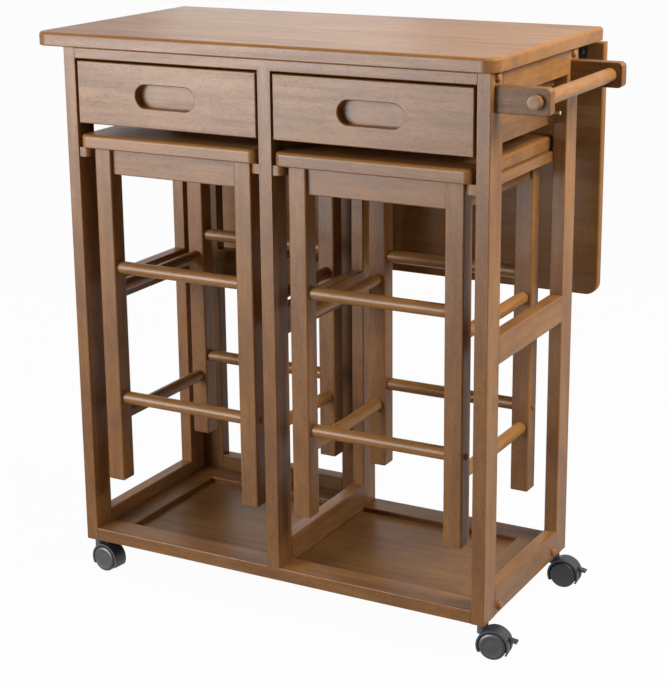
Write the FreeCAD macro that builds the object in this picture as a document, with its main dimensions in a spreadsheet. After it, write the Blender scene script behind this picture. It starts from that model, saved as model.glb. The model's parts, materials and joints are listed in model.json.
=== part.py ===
import FreeCAD, Part
import Sketcher

import math
import os
import re

# Drop leaf kitchen island: a rolling cart of three ladder frames with two drawers, a leaf on
# butt hinges, a swinging gate that holds the leaf up, a towel bar, and two stools that hang in
# the bays by the edges of their seats.
#
# Millimetres, +Z up. The origin is on the floor under the middle of the whole object: +X points
# to the towel bar, +Y to the drop leaf. Pieces are placed in the cart's own frame, whose zero is
# the left frame's outer face, the front face of the posts and the floor, and every sub-part is
# then moved by the same shift.

SIZES = [
    # timber of the three ladder frames
    ("post_width", 20, "thickness of posts and side rails, along X"),
    ("post_depth", 40, "width of a post, along Y"),
    ("post_length", 767, "length of an outer post"),
    ("bay_width", 307.5, "clear width between two frames"),
    ("frame_depth", 309, "front face of the front posts to rear face of the rear posts"),
    ("top_rail_height", 36, "height of the side top rails"),
    ("rail_height", 40, "height of the side middle and outer bottom rails"),
    ("centre_bottom_rail_height", 36, "height of the centre frame's bottom rail"),
    ("middle_rail_level", 422, "underside of the middle rails above the floor"),
    ("kicker_thickness", 16, "thickness of the flat front top rail"),
    ("lip_depth", 6, "depth of the centre post's lips over the front rails"),
    ("lip_height", 6, "height of the centre post's lips"),
    ("rear_rail_thickness", 20, "thickness of the rear top rail"),
    ("arris", 1.5, "softened edge of planed timber"),
    # worktop and drop leaf
    ("top_thickness", 20, "thickness of the worktop"),
    ("top_overhang_left", 48.5, "worktop beyond the left frame"),
    ("top_overhang_right", 8, "worktop beyond the right frame"),
    ("top_overhang_front", 5, "worktop beyond the posts in front"),
    ("top_overhang_rear", 81, "worktop beyond the rear posts"),
    ("top_corner", 20, "corner radius of worktop and leaf in plan"),
    ("joint_corner", 6, "corner radius of the worktop beside the leaf"),
    ("top_edge_round", 5, "rounding of the worktop's upper edge"),
    ("under_edge_round", 2, "rounding of the lower edges of worktop and seats"),
    ("leaf_thickness", 15, "thickness of the drop leaf"),
    ("leaf_drop", 384, "length of the leaf from its hinged edge to its free edge"),
    ("leaf_edge_round", 3, "rounding of the leaf's edges"),
    ("joint_gap", 0.5, "gap between worktop and raised leaf"),
    # butt hinges of the leaf
    ("knuckle_radius", 3, "outer radius of a hinge knuckle"),
    ("hinge_pin_radius", 1.25, "radius of a hinge pin"),
    ("pin_clearance", 0.06, "radial play of a turning pin in its hole"),
    ("hinge_plate", 1.5, "thickness of a hinge plate"),
    ("hinge_width", 60, "length of a hinge along the joint"),
    ("hinge_reach", 28, "width of a hinge plate away from its pin"),
    ("hinge_inset", 55, "end of the worktop to the middle of an outer hinge"),
    ("knuckle_play", 0.3, "knuckles to the boards beside them"),
    ("knuckle_gap", 0.4, "gap between neighbouring knuckles"),
    # shelf
    ("shelf_thickness", 20, "thickness of the shelf's frame"),
    ("shelf_rail_width", 42, "width of the shelf's front, rear and end rails"),
    ("panel_thickness", 6, "thickness of the shelf panels"),
    ("panel_recess", 8, "top of a panel below the top of the shelf's frame"),
    ("panel_groove", 5, "depth of the grooves that hold the panels"),
    # gate
    ("gate_stile_width", 40, "width of a gate stile"),
    ("gate_thickness", 20, "thickness of the gate"),
    ("gate_frame_gap", 2.1, "gate to the rear of the posts"),
    ("gate_post_gap", 2.5, "hinge stile short of the centre post"),
    ("gate_lap", 3.5, "free stile's lap behind the left post"),
    ("gate_top_gap", 4, "gate to the underside of the worktop"),
    ("gate_foot_gap", 4, "gate to its foot plate"),
    ("gate_rail_height", 40, "height of the gate's top and bottom rails"),
    ("gate_middle_height", 52, "height of the gate's middle rail"),
    ("gate_middle_level", 403, "underside of the gate's middle rail above the floor"),
    ("gate_pivot_inset", 10, "gate's pivot to the end of the hinge stile"),
    ("gate_pin_radius", 4, "radius of a gate pivot pin"),
    ("gate_pin_grip", 25, "length of a gate pin inside its stile"),
    ("gate_pin_hold", 12, "length of the upper gate pin inside the worktop"),
    ("foot_plate_width", 24, "width of the plate that carries the gate's lower pin"),
    ("foot_plate_thickness", 3, "thickness of the foot plate"),
    ("foot_plate_lap", 26, "foot plate's lap under the shelf"),
    ("foot_plate_corner", 6, "corner radius of the foot plate"),
    ("pin_end_gap", 0.5, "pin end to the bottom of its blind hole"),
    # towel bar
    ("bracket_reach", 76, "bracket's end from the right frame"),
    ("bracket_thickness", 18, "thickness of a towel bracket"),
    ("bracket_height", 36, "height of a towel bracket"),
    ("bracket_drop", 16, "top of a bracket below the worktop"),
    ("bracket_corner", 7, "corner radius of a bracket's outer end"),
    ("bar_radius", 10, "radius of the towel bar"),
    ("bar_reach", 57.5, "axis of the towel bar from the right frame"),
    ("bar_standout", 9, "end of the bar beyond its bracket"),
    ("bar_play", 0.05, "play of the bar in its brackets"),
    # stool runners and drawer runners
    ("runner_level", 660, "underside of the stool runners above the floor"),
    ("runner_height", 14, "height of a stool runner"),
    ("runner_width", 16, "width of a stool runner"),
    ("runner_inset", 2, "front end of a runner behind the posts' front"),
    ("runner_nose", 8, "rounding of a runner's front end"),
    ("runner_setback", 24, "rear end of the runners to the rear of the posts"),
    ("strip_level", 768, "underside of the drawer runner strips above the floor"),
    ("strip_height", 12, "height of a drawer runner strip"),
    ("strip_width", 9, "width of a drawer runner strip"),
    # drawers
    ("drawer_front_gap", 3.5, "drawer front to the post beside it"),
    ("drawer_top_gap", 3, "drawer front to the rail above it"),
    ("drawer_front_height", 91, "height of a drawer front"),
    ("drawer_front_thickness", 18, "thickness of a drawer front"),
    ("drawer_rear_gap", 11, "rear of a drawer box to the rear rail"),
    ("drawer_wall", 12, "thickness of a drawer's sides and back"),
    ("drawer_side_height", 76, "height of a drawer's sides and back"),
    ("drawer_side_rise", 4, "underside of the sides above the front's lower edge"),
    ("drawer_bottom", 4, "thickness of a drawer bottom"),
    ("drawer_bottom_rise", 6, "underside of the bottom above the sides' lower edge"),
    ("drawer_bottom_groove", 4, "depth of the grooves for the drawer bottom"),
    ("slide_gap", 0.3, "play above a sliding piece's bearing face"),
    ("groove_play", 0.6, "play below and beside a strip in its groove"),
    ("grip_width", 100, "width of a finger grip"),
    ("grip_height", 34, "height of a finger grip"),
    ("grip_depth", 13, "depth of a finger grip"),
    ("stop_pin_radius", 2.2, "radius of a drawer stop pin"),
    ("stop_head_radius", 3, "radius of a stop pin's head"),
    ("stop_head_length", 3, "length of a stop pin's head"),
    ("stop_pin_inset", 3, "stop pin's head inside the outer face of the frame"),
    ("stop_pin_setback", 4, "stop pin ahead of the rear of the drawer box"),
    ("stop_pin_level", 732, "stop pin above the floor"),
    ("stop_pin_grip", 8, "length of the stop pin inside the drawer side"),
    # stools
    ("seat_side_gap", 5.75, "seat to the frame on either side"),
    ("seat_setback", 17.5, "seat's rear edge to the rear of the posts"),
    ("seat_thickness", 20, "thickness of a seat"),
    ("seat_corner", 10, "corner radius of a seat in plan"),
    ("seat_front", 4.5, "seat's front edge ahead of the posts"),
    ("seat_overhang", 14.5, "seat beyond the legs on every side"),
    ("leg_width", 28, "section of a stool leg"),
    ("leg_length", 518, "length of a stool leg"),
    ("leg_round", 2.5, "rounding of a leg's edges"),
    ("apron_height", 40, "height of a stool apron"),
    ("apron_thickness", 16, "thickness of a stool apron"),
    ("apron_setback", 6, "apron behind the legs' outer faces"),
    ("rung_radius", 9.5, "radius of a rung"),
    ("rung_socket", 10, "depth of a rung's socket in a leg"),
    ("cross_rung_drop_upper", 182, "upper front and rear rungs' axis below the seat"),
    ("cross_rung_drop_lower", 386, "lower front and rear rungs' axis below the seat"),
    ("side_rung_drop_upper", 217, "upper side rungs' axis below the seat"),
    ("side_rung_drop_lower", 418, "lower side rungs' axis below the seat"),
    # button caps
    ("frame_cap_radius", 6.6, "radius of a frame's button cap"),
    ("frame_cap_height", 4.8, "height of a frame's button cap"),
    ("frame_cap_round", 3.6, "rounding of a frame's button cap"),
    ("stool_cap_radius", 4.8, "radius of a stool's button cap"),
    ("stool_cap_height", 3.2, "height of a stool's button cap"),
    ("stool_cap_round", 2.4, "rounding of a stool's button cap"),
    ("upper_cap_drop", 7, "axis of the upper caps below the worktop"),
    ("upper_cap_inset", 20, "upper caps from the outer faces of the posts"),
    ("lower_cap_rise", 11.5, "axis of the lower caps above the posts' lower ends"),
    ("lower_cap_inset", 52, "lower caps from the outer faces of the posts"),
    # casters
    ("caster_height", 53, "lower ends of the posts above the floor"),
    ("wheel_radius", 20, "radius of a caster wheel"),
    ("wheel_width", 11, "width of one wheel of the pair"),
    ("wheel_round", 2.8, "rounding of a wheel's outer edge"),
    ("dish_radius", 14, "radius of the dish in a wheel's face"),
    ("dish_depth", 0.8, "depth of the dish in a wheel's face"),
    ("wheel_gap", 0.5, "wheel to the web between the pair"),
    ("web_width", 5, "thickness of the housing's web"),
    ("axle_radius", 3, "radius of the axle"),
    ("trail", 17, "axle behind the swivel axis"),
    ("hood_radius", 24, "outer radius of the hood"),
    ("hood_width", 24, "width of the hood"),
    ("hood_play", 1.2, "wheel to the inside of the hood"),
    ("hood_level", 9, "lower edge of the hood above the floor"),
    ("boss_radius", 8, "radius of the swivel boss"),
    ("boss_gap", 0.3, "boss to the post above it"),
    ("stem_radius", 4, "radius of a caster stem"),
    ("stem_grip", 26, "length of a stem inside its post"),
    ("stem_hold", 16, "length of a stem inside the boss"),
    ("lever_width", 5, "width of a brake lever inside the housing"),
    ("lever_hub", 4, "radius of a brake lever's hub"),
    ("lever_play", 0.35, "brake lever to the housing"),
    ("lever_arm", 13, "axle to the lever's hub"),
    ("lever_reach", 22, "hub to the tip of the brake lever"),
    ("lever_thickness", 3, "thickness of the brake lever's arm"),
    ("lever_slot_rise", 7, "hub to the upper end of the slot in the hood"),
    ("lever_slot_drop", 12, "hub to the lower end of the slot in the hood"),
    ("tab_width", 10, "width of the brake lever's tab"),
    ("tab_length", 9, "length of the brake lever's tab"),
    ("lever_angle", 24, "brake lever's rise above the level at rest, degrees"),
    ("turn_front_left", -6, "front left caster's turn at rest, degrees"),
    ("turn_front_right", 7, "front right caster's turn at rest, degrees"),
    ("turn_rear_left", -3, "rear left caster's turn at rest, degrees"),
    ("turn_rear_right", 4, "rear right caster's turn at rest, degrees"),
]

doc = FreeCAD.newDocument("drop_leaf_island")
sheet = doc.addObject("Spreadsheet::Sheet", "sizes")
for row, (alias, value, note) in enumerate(SIZES, start=1):
    sheet.set(f"A{row}", alias)
    sheet.set(f"B{row}", str(value))
    sheet.set(f"C{row}", note)
    sheet.setAlias(f"B{row}", alias)
doc.recompute()

ALIASES = {alias for alias, value, note in SIZES}


def bound(text):
    """An expression with each size's name turned into a reference to its cell."""
    return re.sub(r"[a-z][a-z_]*", lambda m: "sizes." + m[0] if m[0] in ALIASES else m[0], str(text))


def bind(thing, **properties):
    """Binds properties of an object to expressions; x, y and z stand for its place."""
    paths = {"x": "Placement.Base.x", "y": "Placement.Base.y", "z": "Placement.Base.z"}
    for name, text in properties.items():
        thing.setExpression(paths.get(name, name), bound(text))


# ---- places worked out from the sizes, in the cart's own frame ----

pitch = "(post_width + bay_width)"
frame_length = "(3 * post_width + 2 * bay_width)"
top_underside = "(caster_height + post_length)"
shelf_top = "(caster_height + shelf_thickness)"
rear_post = "(frame_depth - post_depth)"
rail_span = "(frame_depth - 2 * post_depth)"
kicker_underside = f"({top_underside} - kicker_thickness)"
top_length = f"({frame_length} + top_overhang_left + top_overhang_right)"
top_depth = "(frame_depth + top_overhang_front + top_overhang_rear)"
hinge_y = "(frame_depth + top_overhang_rear + joint_gap / 2)"
hinge_z = f"({top_underside} - knuckle_radius - knuckle_play)"
leaf_y = f"({hinge_y} + knuckle_radius + knuckle_play)"
shift_x = f"((top_overhang_left - {frame_length} - bracket_reach) / 2)"
shift_y = f"((top_overhang_front - {leaf_y} - leaf_thickness) / 2)"
panel_z = f"({shelf_top} - panel_recess - panel_thickness)"
gate_y = "(frame_depth + gate_frame_gap)"
runner_rear = "(frame_depth - runner_setback)"
seat_width = "(bay_width - 2 * seat_side_gap)"
seat_depth = "(frame_depth - seat_setback + seat_front)"
drawer_depth = f"({rear_post} - drawer_rear_gap)"
stop_pin_y = f"({drawer_depth} - stop_pin_setback)"
seat_underside = "(runner_level + runner_height + slide_gap)"
bracket_z = f"({top_underside} - bracket_drop - bracket_height)"


def frame_x(index):
    """Left face of frame 0, 1 or 2."""
    return f"({index} * {pitch})"


def bay_x(index):
    """Left side of bay 0 or 1."""
    return f"(post_width + {index} * {pitch})"


UNIT_BOX = Part.makeBox(1, 1, 1)


def box_edges(test):
    """Names of a box's edges whose middle, on a unit box, passes the test."""
    names = []
    for number, edge in enumerate(UNIT_BOX.Edges, start=1):
        middle = edge.CenterOfMass
        if test(round(middle.x, 1), round(middle.y, 1), round(middle.z, 1)):
            names.append(f"Edge{number}")
    return names


ALONG_X = box_edges(lambda x, y, z: x == 0.5)
ALONG_Y = box_edges(lambda x, y, z: y == 0.5)
ALONG_Z = box_edges(lambda x, y, z: z == 0.5)
AT_FOOT = box_edges(lambda x, y, z: z != 1)

parts = []


def place(thing, x="0", y="0", z="0"):
    """Moves a finished sub-part from the cart's frame to the object's frame."""
    bind(thing, x=f"{shift_x} + {x}", y=f"{shift_y} + {y}", z=z)
    parts.append(thing)
    return thing


def body(name):
    return doc.addObject("PartDesign::Body", name)


def add_box(owner, size, at, cut=False):
    """A box feature in a body: size along X, Y and Z, and its lowest corner."""
    kind = "PartDesign::SubtractiveBox" if cut else "PartDesign::AdditiveBox"
    feature = owner.newObject(kind, owner.Name + ("_cut" if cut else "_box"))
    bind(feature, Length=size[0], Width=size[1], Height=size[2], x=at[0], y=at[1], z=at[2])
    return feature


AXES = {
    "x": FreeCAD.Rotation(FreeCAD.Vector(0, 1, 0), 90),
    "y": FreeCAD.Rotation(FreeCAD.Vector(1, 0, 0), -90),
    "z": FreeCAD.Rotation(),
}


def add_cylinder(owner, axis, radius, length, at, cut=False):
    """A cylinder feature in a body that runs from a point along +X, +Y or +Z."""
    kind = "PartDesign::SubtractiveCylinder" if cut else "PartDesign::AdditiveCylinder"
    feature = owner.newObject(kind, owner.Name + ("_bore" if cut else "_round"))
    feature.Placement = FreeCAD.Placement(FreeCAD.Vector(), AXES[axis])
    bind(feature, Radius=radius, Height=length, x=at[0], y=at[1], z=at[2])
    return feature


def round_edges(owner, edges, radius):
    """A fillet on the named edges of the body's last feature."""
    base = owner.Tip
    feature = owner.newObject("PartDesign::Fillet", owner.Name + "_fillet")
    feature.Base = (base, edges)
    bind(feature, Radius=radius)
    return feature


def edges_in_plane(shape, axis, level):
    """Names of the edges that lie in a plane square to an axis."""
    names = []
    for number, edge in enumerate(shape.Edges, start=1):
        box = edge.BoundBox
        low, high = getattr(box, axis + "Min"), getattr(box, axis + "Max")
        if abs(low - level) < 0.01 and abs(high - level) < 0.01:
            names.append(f"Edge{number}")
    return names


def plank(name, size, at, edges, radius="arris"):
    """A planed board: a box with some of its edges softened."""
    owner = body(name)
    add_box(owner, size, at)
    round_edges(owner, edges, radius)
    return owner


def board(name, size, at, front_corner, rear_corner, top_round, under_round):
    """A board with rounded corners in plan and rounded upper and lower edges."""
    owner = body(name)
    add_box(owner, size, at)
    round_edges(owner, box_edges(lambda x, y, z: z == 0.5 and y == 0), front_corner)
    doc.recompute()
    shape = owner.Tip.Shape
    rear = edges_in_plane(shape, "Y", shape.BoundBox.YMax)
    upright = [name for name in rear if shape.getElement(name).BoundBox.ZLength > 1]
    round_edges(owner, upright, rear_corner)
    for side, radius in (("ZMax", top_round), ("ZMin", under_round)):
        doc.recompute()
        shape = owner.Tip.Shape
        level = getattr(shape.BoundBox, side)
        round_edges(owner, edges_in_plane(shape, "Z", level), radius)
    return owner


def group(name, pieces):
    """Several separate solids under one name."""
    thing = doc.addObject("Part::Compound", name)
    thing.Links = pieces
    return thing


def button_cap(name, kind, side, at):
    """A domed wooden cap that stands on a face, towards +X or -X; kind is frame or stool."""
    owner = body(name)
    start = at[0] if side > 0 else f"{at[0]} - {kind}_cap_height"
    add_cylinder(owner, "x", f"{kind}_cap_radius", f"{kind}_cap_height", (start, at[1], at[2]))
    doc.recompute()
    shape = owner.Tip.Shape
    outer = shape.BoundBox.XMax if side > 0 else shape.BoundBox.XMin
    round_edges(owner, edges_in_plane(shape, "X", outer), f"{kind}_cap_round")
    return owner


# ---- the three ladder frames ----

def outer_post(name, index, y):
    """An outer post, with a hole in its lower end for the caster's stem."""
    x = frame_x(index)
    post = plank(name, ("post_width", "post_depth", "post_length"), (x, y, "caster_height"), ALONG_Z)
    centre = (f"{x} + post_width / 2", f"{y} + post_depth / 2", "caster_height")
    add_cylinder(post, "z", "stem_radius", "stem_grip", centre, cut=True)
    return place(post)


outer_post("front_left_post", 0, "0")
outer_post("front_right_post", 2, "0")
outer_post("rear_left_post", 0, rear_post)
outer_post("rear_right_post", 2, rear_post)

centre_x = frame_x(1)
front_centre_post = plank(
    "front_centre_post",
    ("post_width", "post_depth", f"{kicker_underside} - {shelf_top}"),
    (centre_x, "0", shelf_top),
    ALONG_Z,
)
add_box(
    front_centre_post,
    ("post_width", "lip_depth", f"{kicker_underside} - {shelf_top} + 2 * lip_height"),
    (centre_x, "0", f"{shelf_top} - lip_height"),
)
place(front_centre_post)

rear_centre_post = plank(
    "rear_centre_post",
    ("post_width", "post_depth", f"{top_underside} - {shelf_top}"),
    (centre_x, rear_post, shelf_top),
    ALONG_Z,
)
place(rear_centre_post)


def side_rails(name, heights, levels):
    """One rail between the posts of each of the three frames."""
    rails = []
    for index in range(3):
        size = ("post_width", rail_span, heights[index])
        at = (frame_x(index), "post_depth", levels[index])
        rails.append(plank(f"{name}_{index + 1}", size, at, ALONG_Y))
    return place(group(name, rails))


side_rails("side_top_rails", ["top_rail_height"] * 3, [f"{top_underside} - top_rail_height"] * 3)
side_rails("side_middle_rails", ["rail_height"] * 3, ["middle_rail_level"] * 3)
side_rails(
    "side_bottom_rails",
    ["rail_height", "centre_bottom_rail_height", "rail_height"],
    ["caster_height", shelf_top, "caster_height"],
)

front_top_rail = plank(
    "front_top_rail",
    (f"{frame_length} - 2 * post_width", "post_depth", "kicker_thickness"),
    ("post_width", "0", kicker_underside),
    ALONG_X,
)
add_box(
    front_top_rail,
    ("post_width", "lip_depth", "lip_height"),
    (centre_x, "0", kicker_underside),
    cut=True,
)
place(front_top_rail)

rear_rail_pieces = []
for bay in range(2):
    size = ("bay_width", "rear_rail_thickness", "top_rail_height")
    at = (bay_x(bay), rear_post, f"{top_underside} - top_rail_height")
    rear_rail_pieces.append(plank(f"rear_rail_{bay + 1}", size, at, ALONG_X))
place(group("rear_top_rail", rear_rail_pieces))

# ---- worktop, drop leaf and their hinges ----

worktop = board(
    "worktop",
    (top_length, top_depth, "top_thickness"),
    ("-top_overhang_left", "-top_overhang_front", top_underside),
    "top_corner",
    "joint_corner",
    "top_edge_round",
    "under_edge_round",
)
gate_right = f"({bay_x(0)} + bay_width - gate_post_gap)"
gate_left = f"({bay_x(0)} - gate_lap)"
gate_length = f"({gate_right} - {gate_left})"
gate_z = "(caster_height + gate_foot_gap)"
gate_top = f"({top_underside} - gate_top_gap)"
pivot_x = f"({gate_right} - gate_pivot_inset)"
pivot_y = f"({gate_y} + gate_thickness / 2)"
gate_hole = "gate_pin_radius + pin_clearance"
hole_depth = "gate_pin_hold + pin_end_gap"
add_cylinder(worktop, "z", gate_hole, hole_depth, (pivot_x, pivot_y, top_underside), cut=True)
place(worktop)

leaf_top = f"({hinge_z} - joint_gap / 2)"
drop_leaf = body("drop_leaf")
add_box(
    drop_leaf,
    (top_length, "leaf_thickness", "leaf_drop"),
    ("-top_overhang_left", leaf_y, f"{leaf_top} - leaf_drop"),
)
round_edges(drop_leaf, box_edges(lambda x, y, z: y == 0.5 and z == 0), "top_corner")
for side in ("YMin", "YMax"):
    doc.recompute()
    shape = drop_leaf.Tip.Shape
    level = getattr(shape.BoundBox, side)
    round_edges(drop_leaf, edges_in_plane(shape, "Y", level), "leaf_edge_round")
place(drop_leaf)

KNUCKLES = 5
knuckle_pitch = f"((hinge_width + knuckle_gap) / {KNUCKLES})"
hinge_middles = [
    "(hinge_inset - top_overhang_left)",
    f"({frame_length} + top_overhang_right - top_overhang_left) / 2",
    f"({frame_length} + top_overhang_right - hinge_inset)",
]


def hinge_plate(name, middle, plate_size, plate_at, knuckles):
    """A hinge plate with its own knuckles, bored for the pin."""
    owner = body(name)
    start = f"({middle} - hinge_width / 2)"
    add_box(owner, ("hinge_width",) + plate_size, (start,) + plate_at)
    for number in range(KNUCKLES):
        at = (f"{start} + {number} * {knuckle_pitch}", hinge_y, hinge_z)
        length = f"{knuckle_pitch} - knuckle_gap"
        if number in knuckles:
            add_cylinder(owner, "x", "knuckle_radius", length, at)
    for number in range(KNUCKLES):
        gap_at = f"{start} + {number} * {knuckle_pitch} - knuckle_gap"
        across = "2 * knuckle_radius + knuckle_play"
        slot = (f"{knuckle_pitch} + knuckle_gap", across, across)
        corner = (gap_at, f"{hinge_y} - knuckle_radius", f"{hinge_z} - knuckle_radius")
        if number not in knuckles:
            add_box(owner, slot, corner, cut=True)
    bore = "hinge_pin_radius + pin_clearance"
    at = (f"{start} - knuckle_gap", hinge_y, hinge_z)
    add_cylinder(owner, "x", bore, "hinge_width + 2 * knuckle_gap", at, cut=True)
    return owner


top_plates = []
leaf_plates = []
hinge_pins = []
for number, middle in enumerate(hinge_middles, start=1):
    top_plates.append(
        hinge_plate(
            f"top_plate_{number}",
            middle,
            ("hinge_reach", "hinge_plate"),
            (f"{hinge_y} - hinge_reach", f"{top_underside} - hinge_plate"),
            (0, 2, 4),
        )
    )
    leaf_plates.append(
        hinge_plate(
            f"leaf_plate_{number}",
            middle,
            ("hinge_plate", "hinge_reach"),
            (f"{leaf_y} - hinge_plate", f"{hinge_z} - hinge_reach"),
            (1, 3),
        )
    )
    pin = body(f"hinge_pin_{number}")
    left_end = (f"{middle} - hinge_width / 2", hinge_y, hinge_z)
    add_cylinder(pin, "x", "hinge_pin_radius", "hinge_width", left_end)
    hinge_pins.append(pin)
place(group("top_hinge_plates", top_plates))
place(group("leaf_hinge_plates", leaf_plates))
place(group("hinge_pins", hinge_pins))

# ---- shelf ----

shelf_inner = f"({frame_length} - 2 * post_width)"
front_rail = plank(
    "shelf_front_rail",
    (shelf_inner, "shelf_rail_width", "shelf_thickness"),
    ("post_width", "0", "caster_height"),
    ALONG_X,
)
add_box(
    front_rail,
    ("post_width", "lip_depth", "lip_height"),
    (centre_x, "0", f"{shelf_top} - lip_height"),
    cut=True,
)
panel_left = "(post_width + shelf_rail_width - panel_groove)"
panel_right = f"({frame_length} - post_width - shelf_rail_width + panel_groove)"
groove_size = (f"{panel_right} - {panel_left}", "panel_groove", "panel_thickness")
add_box(front_rail, groove_size, (panel_left, "shelf_rail_width - panel_groove", panel_z), cut=True)
place(front_rail)

rear_rail_y = "(frame_depth - shelf_rail_width)"
rear_rail = plank(
    "shelf_rear_rail",
    (shelf_inner, "shelf_rail_width", "shelf_thickness"),
    ("post_width", rear_rail_y, "caster_height"),
    ALONG_X,
)
add_box(rear_rail, groove_size, (panel_left, rear_rail_y, panel_z), cut=True)
place(rear_rail)

shelf_span = f"({rear_rail_y} - shelf_rail_width)"


def cross_rail(name, x, width, grooves):
    """A shelf rail from front to rear with grooves for the panels at the given places."""
    size = (width, shelf_span, "shelf_thickness")
    rail = plank(name, size, (x, "shelf_rail_width", "caster_height"), ALONG_Y)
    for groove_x in grooves:
        cut_size = ("panel_groove", shelf_span, "panel_thickness")
        add_box(rail, cut_size, (groove_x, "shelf_rail_width", panel_z), cut=True)
    return rail


centre_right = f"({centre_x} + post_width)"
cross_rails = [
    cross_rail("shelf_left_rail", "post_width", "shelf_rail_width", [panel_left]),
    cross_rail(
        "shelf_centre_rail",
        centre_x,
        "post_width",
        [centre_x, f"{centre_right} - panel_groove"],
    ),
    cross_rail(
        "shelf_right_rail",
        f"{frame_length} - post_width - shelf_rail_width",
        "shelf_rail_width",
        [f"{panel_right} - panel_groove"],
    ),
]
place(group("shelf_cross_rails", cross_rails))

panel_depth = f"({shelf_span} + 2 * panel_groove)"
panels = []
panel_ends = [
    (panel_left, f"({centre_x} + panel_groove)"),
    (f"({centre_right} - panel_groove)", panel_right),
]
for number, (left, right) in enumerate(panel_ends, start=1):
    panel = body(f"shelf_panel_{number}")
    size = (f"{right} - {left}", panel_depth, "panel_thickness")
    add_box(panel, size, (left, "shelf_rail_width - panel_groove", panel_z))
    panels.append(panel)
place(group("shelf_panels", panels))

# ---- stool runners and drawer runner strips ----

runners = []
strips = []
for bay in range(2):
    for side in range(2):
        label = f"{bay + 1}_{side + 1}"
        runner_x = bay_x(bay) if side == 0 else f"({bay_x(bay)} + bay_width - runner_width)"
        runner = body(f"runner_{label}")
        size = ("runner_width", f"{runner_rear} - runner_inset", "runner_height")
        add_box(runner, size, (runner_x, "runner_inset", "runner_level"))
        inner = 1 if side == 0 else 0
        nose = box_edges(lambda x, y, z: z == 0.5 and y == 0 and x == inner)
        round_edges(runner, nose, "runner_nose")
        runners.append(runner)
        strip_x = bay_x(bay) if side == 0 else f"({bay_x(bay)} + bay_width - strip_width)"
        strip = body(f"strip_{label}")
        strip_start = "(drawer_front_thickness + runner_inset)"
        size = ("strip_width", f"{runner_rear} - {strip_start}", "strip_height")
        add_box(strip, size, (strip_x, strip_start, "strip_level"))
        strips.append(strip)
place(group("stool_runners", runners))
place(group("drawer_runners", strips))

# ---- gate ----

gate_height = f"({gate_top} - {gate_z})"
stile_size = ("gate_stile_width", "gate_thickness", gate_height)
hinge_stile_at = (f"{gate_right} - gate_stile_width", gate_y, gate_z)
hinge_stile = plank("gate_hinge_stile", stile_size, hinge_stile_at, ALONG_Z)
foot_at = (pivot_x, pivot_y, gate_z)
head_at = (pivot_x, pivot_y, f"{gate_top} - gate_pin_grip")
for at in (foot_at, head_at):
    add_cylinder(hinge_stile, "z", "gate_pin_radius", "gate_pin_grip", at, cut=True)
free_stile = plank("gate_free_stile", stile_size, (gate_left, gate_y, gate_z), ALONG_Z)
place(group("gate_stiles", [hinge_stile, free_stile]))

gate_rails = []
gate_levels = [
    (gate_z, "gate_rail_height"),
    ("gate_middle_level", "gate_middle_height"),
    (f"{gate_top} - gate_rail_height", "gate_rail_height"),
]
for number, (level, height) in enumerate(gate_levels, start=1):
    size = (f"{gate_length} - 2 * gate_stile_width", "gate_thickness", height)
    at = (f"{gate_left} + gate_stile_width", gate_y, level)
    gate_rails.append(plank(f"gate_rail_{number}", size, at, ALONG_X))
place(group("gate_rails", gate_rails))

plate_z = "(caster_height - foot_plate_thickness)"
foot_pin = body("gate_foot_pin")
foot_pin_length = "foot_plate_thickness + gate_foot_gap + gate_pin_grip"
foot_pin_at = (pivot_x, pivot_y, plate_z)
add_cylinder(foot_pin, "z", "gate_pin_radius", foot_pin_length, foot_pin_at)
head_pin = body("gate_head_pin")
head_pin_length = "gate_pin_hold + gate_top_gap + gate_pin_grip"
add_cylinder(head_pin, "z", "gate_pin_radius", head_pin_length, head_at)
place(group("gate_pins", [foot_pin, head_pin]))

foot_plate = body("gate_foot_plate")
plate_front = "(frame_depth - foot_plate_lap)"
plate_size = (
    "foot_plate_width",
    f"{pivot_y} + foot_plate_width / 2 - {plate_front}",
    "foot_plate_thickness",
)
plate_at = (f"{pivot_x} - foot_plate_width / 2", plate_front, plate_z)
add_box(foot_plate, plate_size, plate_at)
round_edges(foot_plate, box_edges(lambda x, y, z: z == 0.5), "foot_plate_corner")
add_cylinder(foot_plate, "z", gate_hole, "foot_plate_thickness", foot_pin_at, cut=True)
place(foot_plate)

# ---- towel bar ----

bracket_inset = "((post_depth - bracket_thickness) / 2)"
bar_z = f"({bracket_z} + bracket_height / 2)"
bar_x = f"({frame_length} + bar_reach)"


def towel_bracket(name, y):
    """A flat arm on the side of a post, bored for the bar."""
    owner = body(name)
    size = ("bracket_reach", "bracket_thickness", "bracket_height")
    add_box(owner, size, (frame_length, y, bracket_z))
    round_edges(owner, box_edges(lambda x, y, z: x == 1 and y == 0.5), "bracket_corner")
    for side in ("YMin", "YMax"):
        doc.recompute()
        shape = owner.Tip.Shape
        level = getattr(shape.BoundBox, side)
        round_edges(owner, edges_in_plane(shape, "Y", level), "arris")
    at = (bar_x, f"{y} - bar_standout", bar_z)
    through = "bracket_thickness + 2 * bar_standout"
    add_cylinder(owner, "y", "bar_radius + bar_play", through, at, cut=True)
    return place(owner)


towel_bracket("towel_bracket_front", bracket_inset)
towel_bracket("towel_bracket_rear", f"({rear_post} + {bracket_inset})")

towel_bar = body("towel_bar")
bar_start = f"({bracket_inset} - bar_standout)"
bar_length = f"frame_depth - 2 * {bar_start}"
add_cylinder(towel_bar, "y", "bar_radius", bar_length, (bar_x, bar_start, bar_z))
doc.recompute()
bar_shape = towel_bar.Tip.Shape
bar_rims = edges_in_plane(bar_shape, "Y", bar_shape.BoundBox.YMin)
bar_rims += edges_in_plane(bar_shape, "Y", bar_shape.BoundBox.YMax)
round_edges(towel_bar, bar_rims, "arris")
place(towel_bar)

# ---- button caps over the frame's screws ----

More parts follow.
